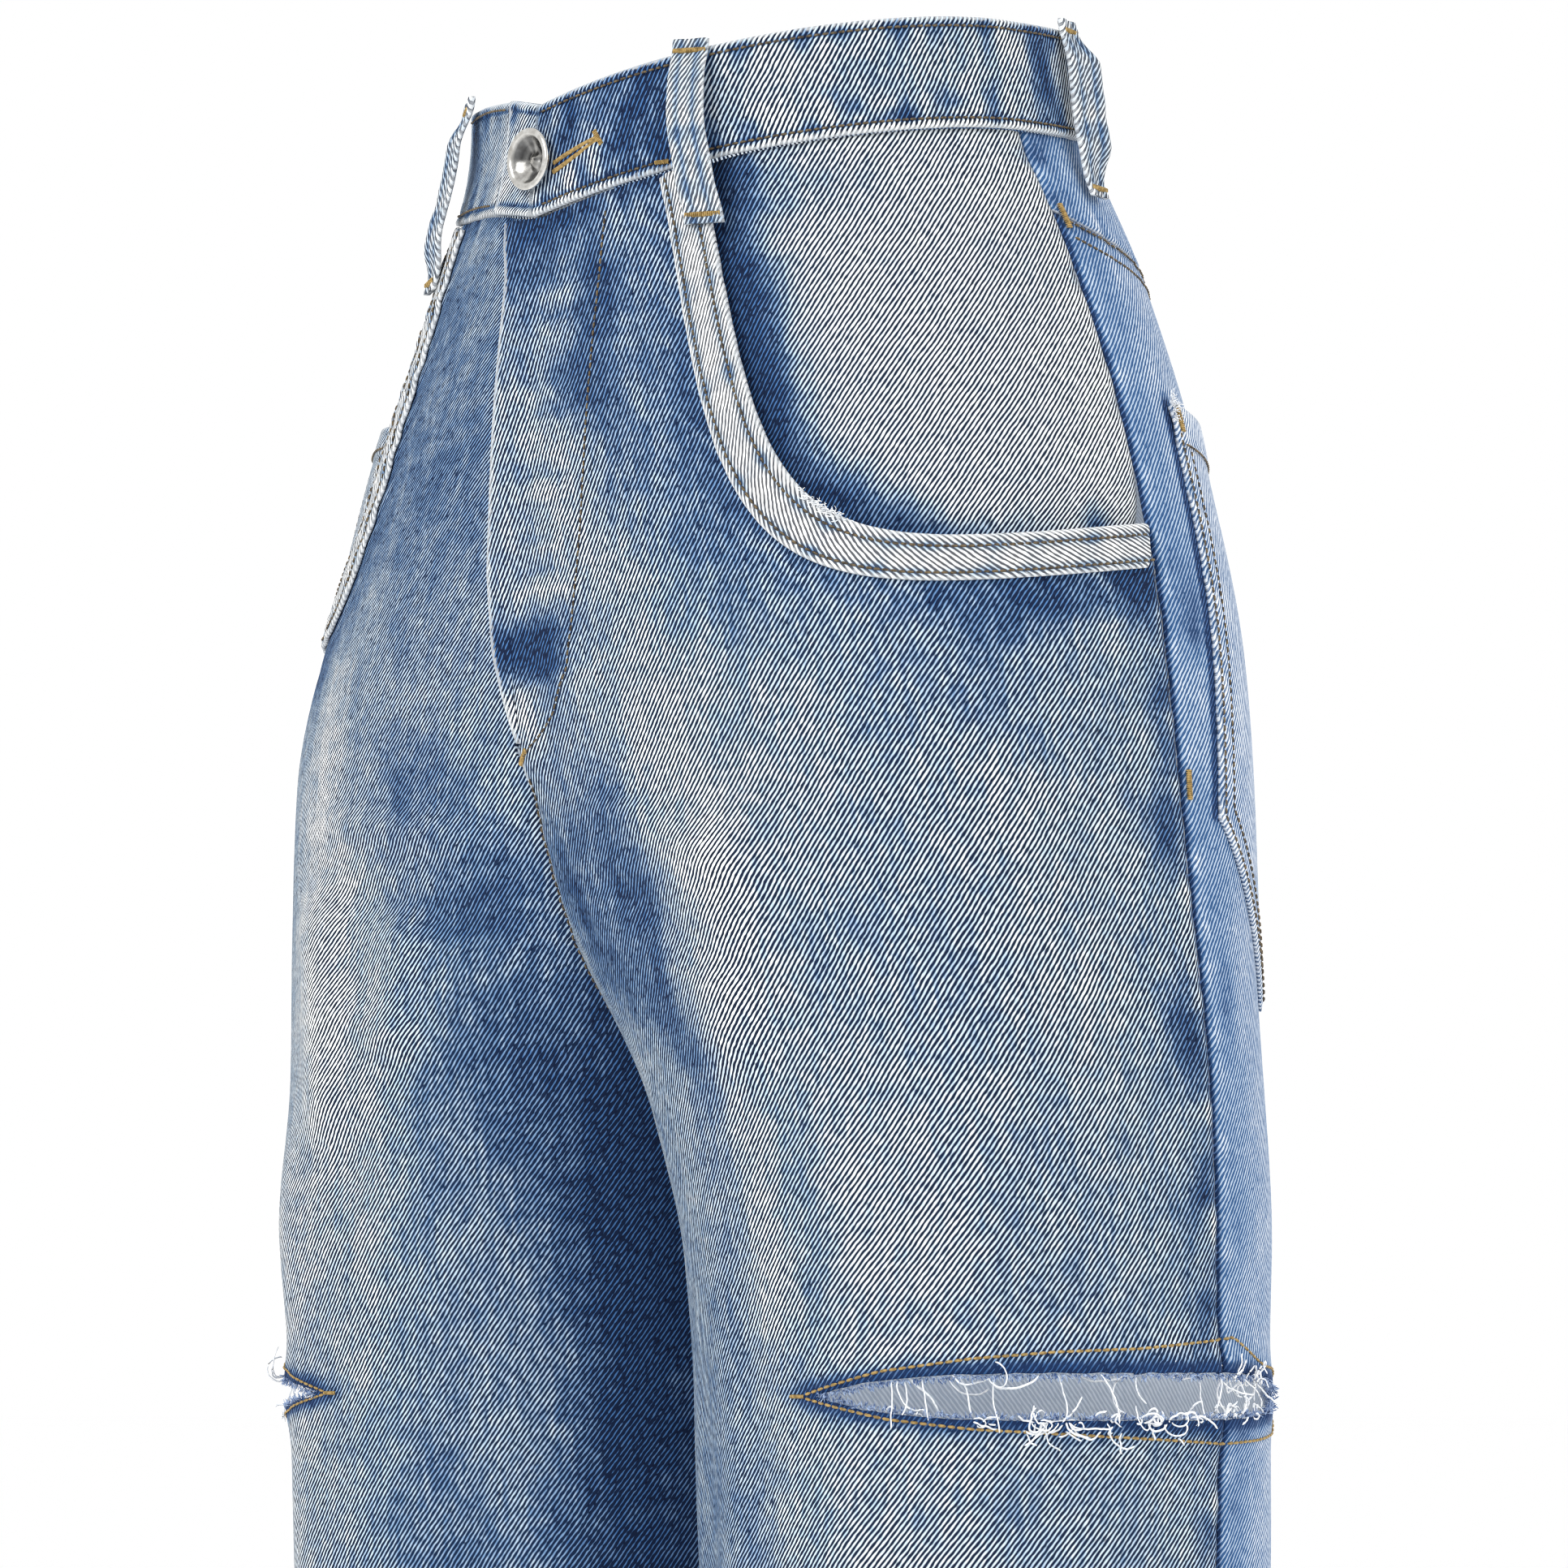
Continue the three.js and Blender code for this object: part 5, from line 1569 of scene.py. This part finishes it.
def slash_fray(half, side, sizes):
    """Loose yarns and short fibres at the edges of one slash."""
    rng = np.random.default_rng(31 if half > 0 else 47)
    paths = []
    # share of the yarns, from and to along the slash, on the upper edge, lengths, curl, droop, lift
    for share, (start, end), upper, (short, long), curl, droop, lift in (
        (0.18, (-0.75, 0.35), True, (11, 21), 0.2, 1.0, 0.1),
        (0.14, (-0.8, 0.3), False, (5, 12), 0.3, -1.0, 0.2),
        (0.34, (-0.38, 0.26), False, (7, 16), 0.42, 0.8, 0.3),
        (0.2, (0.36, 0.62), True, (8, 16), 0.45, 1.0, 0.15),
        (0.16, (0.3, 0.6), False, (5, 12), 0.4, -0.9, 0.15),
    ):
        count = int(share * sizes.fray_count)
        angle, z = slash_edge(rng.uniform(start, end, count), upper)
        out = slash_out(half, angle, z) - 0.7
        lengths = rng.uniform(short, long, count)
        paths.append(yarn_paths(
            rng, np.full(count, half), angle, z, out, lengths, curl, np.full(count, droop), lift))
    paths = np.concatenate(paths)
    points, faces = tubes(paths, rng.uniform(0.26, 0.38, len(paths)))
    yarns = make_piece(f"slash_yarns_{side}", points, faces, [get_material("fray")])

    count = sizes.fibre_count
    t = rng.uniform(-0.985, 0.985, count)
    upper = rng.random(count) < 0.5
    angle, z = slash_edge(t, upper)
    out = slash_out(half, angle, z) - rng.uniform(0.1, 1.4, count)
    lengths = rng.uniform(1.2, 3.6, count)
    droop = np.where(upper, 1.0, -1.0)
    paths = yarn_paths(rng, np.full(count, half), angle, z, out, lengths, 0.25, droop, steps=5)
    points, faces = tubes(paths, rng.uniform(0.14, 0.24, count))
    fibres = make_piece(f"slash_fibres_{side}", points, faces, [get_material("blue fray")])
    return yarns, fibres


def worn_tufts():
    """Short tufts where a turned edge has worn through: on the scoop's curve and a pocket corner."""
    rng = np.random.default_rng(5)
    count = 90
    angle = rng.normal(-51, 1.6, count)
    turns = np.linspace(1, 89, 900)
    turn = np.interp(angle, scoop_curve(-0.8, turns)[0], turns)
    angle, z = scoop_curve(-0.8, turn)
    half = np.full(count, LEFT)
    paths = yarn_paths(
        rng, half, angle, z, np.full(count, 1.6),
        rng.uniform(1.5, 4.0, count), 0.5, rng.uniform(-1, 1, count), steps=6,
    )
    corner_angle = rng.normal(14.4, 0.5, count)
    corner_z = rng.normal(-137.5, 2.6, count)
    corner = yarn_paths(
        rng, half, corner_angle, corner_z, back_out(half, corner_angle, corner_z) + 2.4,
        rng.uniform(1.5, 3.5, count), 0.5, rng.uniform(-1, 1, count), steps=6,
    )
    points, faces = tubes(np.concatenate([paths, corner]), rng.uniform(0.12, 0.2, 2 * count))
    return make_piece("worn_tufts", points, faces, [get_material("fray")])


# ---- the add-on ----

FLOOR_RADIUS = 60


class JeansSizes(bpy.types.PropertyGroup):
    """Sizes a user would change."""

    cloth: bpy.props.FloatProperty(
        name="Cloth", description="Thickness of one wall of denim", default=0.0013, unit="LENGTH")
    twill: bpy.props.FloatProperty(
        name="Twill pitch", description="Spacing of the diagonal rib, in millimetres", default=1.4)
    stitch_pitch: bpy.props.FloatProperty(
        name="Stitch pitch", description="From one stitch to the next", default=0.0027, unit="LENGTH")
    fray_count: bpy.props.IntProperty(
        name="Yarns", description="Loose white yarns in each slash", default=120)
    fibre_count: bpy.props.IntProperty(
        name="Fibres", description="Short fibres along the edges of each slash", default=1500)
    floor_colour: bpy.props.FloatVectorProperty(
        name="Floor", description="Colour of the floor", subtype="COLOR", size=4,
        default=linear("ffffff"), min=0, max=1)


class JEANS_OT_stage(bpy.types.Operator):
    """Floor, studio lights and camera"""

    bl_idname = "jeans.stage"
    bl_label = "Stage"

    def execute(self, context):
        sizes = context.scene.jeans
        floor_mesh = bpy.data.meshes.new("floor")
        turn = np.radians(np.arange(0, 360, 5))
        level = np.full(len(turn), -LENGTH * MM - 0.002)
        ring = np.stack([FLOOR_RADIUS * np.cos(turn), FLOOR_RADIUS * np.sin(turn), level], axis=1)
        floor_mesh.from_pydata(ring.tolist(), [], [list(range(len(ring)))])
        floor = bpy.data.objects.new("floor", floor_mesh)
        context.scene.collection.objects.link(floor)
        finish, tree = blank_material("matt pale floor")
        shader = add_node(
            tree, "ShaderNodeBsdfPrincipled", {"Base Color": sizes.floor_colour, "Roughness": 0.9})
        add_node(tree, "ShaderNodeOutputMaterial", {"Surface": shader.outputs["BSDF"]})
        floor_mesh.materials.append(finish)

        world = bpy.data.worlds.new("studio")
        context.scene.world = world
        world.use_nodes = True
        world.node_tree.nodes["Background"].inputs["Color"].default_value = (1.0, 1.0, 1.0, 1.0)
        world.node_tree.nodes["Background"].inputs["Strength"].default_value = 1.0
        context.scene.view_settings.view_transform = "Standard"
        context.scene.cycles.filter_width = 1.2

        aim = np.array([0.0, 0.0, -0.35])
        for name, azimuth, elevation, distance, size, power in (
            ("key", 10, 32, 2.6, 1.3, 34.0),
            ("fill", 95, 18, 2.8, 1.8, 12.0),
            ("back left", 215, 30, 2.8, 1.5, 20.0),
            ("back right", 150, 35, 2.8, 1.5, 12.0),
        ):
            lamp = bpy.data.lights.new(name, "AREA")
            lamp.size, lamp.energy = size, power
            light = bpy.data.objects.new(name, lamp)
            a, e = math.radians(azimuth), math.radians(elevation)
            away = np.array([math.sin(a) * math.cos(e), -math.cos(a) * math.cos(e), math.sin(e)])
            light.location = aim + away * distance
            light.rotation_euler = (math.pi / 2 - e, 0, a)
            context.scene.collection.objects.link(light)

        # a small lamp in each leg shows the reverse of the cloth through the slash
        for x in (-0.104, 0.104):
            lamp = bpy.data.lights.new("inside leg", "POINT")
            lamp.energy, lamp.shadow_soft_size = 0.5, 0.04
            light = bpy.data.objects.new("inside leg", lamp)
            light.location = (x, 0.0, -0.36)
            context.scene.collection.objects.link(light)

        lens = bpy.data.cameras.new("camera")
        lens.lens, lens.sensor_width, lens.clip_end = 163.6, 36.0, 200.0
        camera = bpy.data.objects.new("camera", lens)
        camera.location = (1.7914, -1.5976, -0.4413)
        camera.rotation_euler = (math.radians(94.513), 0, math.radians(48.236))
        context.scene.collection.objects.link(camera)
        context.scene.camera = camera
        return {"FINISHED"}


class JEANS_OT_panels(bpy.types.Operator):
    """Front and back panels and yokes"""

    bl_idname = "jeans.panels"
    bl_label = "Panels"

    def execute(self, context):
        for half, side in SIDES:
            front = front_panel(half, side)
            back = back_panel(half, side)
            top = yoke(half, side)
        return {"FINISHED"}


class JEANS_OT_pockets(bpy.types.Operator):
    """Facings, bindings, back pockets, coin pocket and fly facing"""

    bl_idname = "jeans.pockets"
    bl_label = "Pockets"

    def execute(self, context):
        for half, side in SIDES:
            facing = pocket_facing(half, side)
            binding = pocket_band(half, side)
            pocket = back_pocket(half, side)
        coin_pocket()
        fly_facing()
        return {"FINISHED"}


class JEANS_OT_waist(bpy.types.Operator):
    """Waistband, belt loops and button"""

    bl_idname = "jeans.waist"
    bl_label = "Waist"

    def execute(self, context):
        waistband()
        for half, side in SIDES:
            for name, centre, lean, slack, twist in LOOPS:
                belt_loop(
                    f"loop_{name}_{side}", f"belt_loop_{name}_{side}", loop_place(half, centre, lean),
                    centre + half, slack, twist[half < 0])
        belt_loop("loop_back", "belt_loop_back", back_loop_place, 4.0)
        waist_button()
        buttonhole_shadow_lens()
        return {"FINISHED"}


class JEANS_OT_stitching(bpy.types.Operator):
    """Topstitching, bartacks and buttonhole thread"""

    bl_idname = "jeans.stitching"
    bl_label = "Stitching"

    def execute(self, context):
        brown_thread(context.scene.jeans)
        gold_thread(context.scene.jeans)
        loop_back_bartacks()
        return {"FINISHED"}


class JEANS_OT_fray(bpy.types.Operator):
    """Loose yarns and fibres of the slashes and worn edges"""

    bl_idname = "jeans.fray"
    bl_label = "Fray"

    def execute(self, context):
        for half, side in SIDES:
            slash_fray(half, side, context.scene.jeans)
        worn_tufts()
        return {"FINISHED"}


class JEANS_PT_sidebar(bpy.types.Panel):
    """Lists the steps and the sizes"""

    bl_idname = "JEANS_PT_sidebar"
    bl_label = "Jeans"
    bl_space_type = "VIEW_3D"
    bl_region_type = "UI"
    bl_category = "Jeans"

    def draw(self, context):
        sizes = context.scene.jeans
        for name in ("cloth", "twill", "stitch_pitch", "fray_count", "fibre_count", "floor_colour"):
            self.layout.prop(sizes, name)
        for step in STEPS:
            self.layout.operator(step.bl_idname)


STEPS = (JEANS_OT_stage, JEANS_OT_panels, JEANS_OT_pockets, JEANS_OT_waist, JEANS_OT_stitching, JEANS_OT_fray)
CLASSES = (JeansSizes,) + STEPS + (JEANS_PT_sidebar,)


def register():
    """Registers the classes and the sizes."""
    for one in CLASSES:
        bpy.utils.register_class(one)
    bpy.types.Scene.jeans = bpy.props.PointerProperty(type=JeansSizes)


def unregister():
    """Removes what register added."""
    del bpy.types.Scene.jeans
    for one in reversed(CLASSES):
        bpy.utils.unregister_class(one)


def main():
    """Builds everything, in the order of the steps."""
    register()
    bpy.ops.jeans.stage()
    bpy.ops.jeans.panels()
    bpy.ops.jeans.pockets()
    bpy.ops.jeans.waist()
    bpy.ops.jeans.stitching()
    bpy.ops.jeans.fray()


if __name__ == "__main__":
    main()
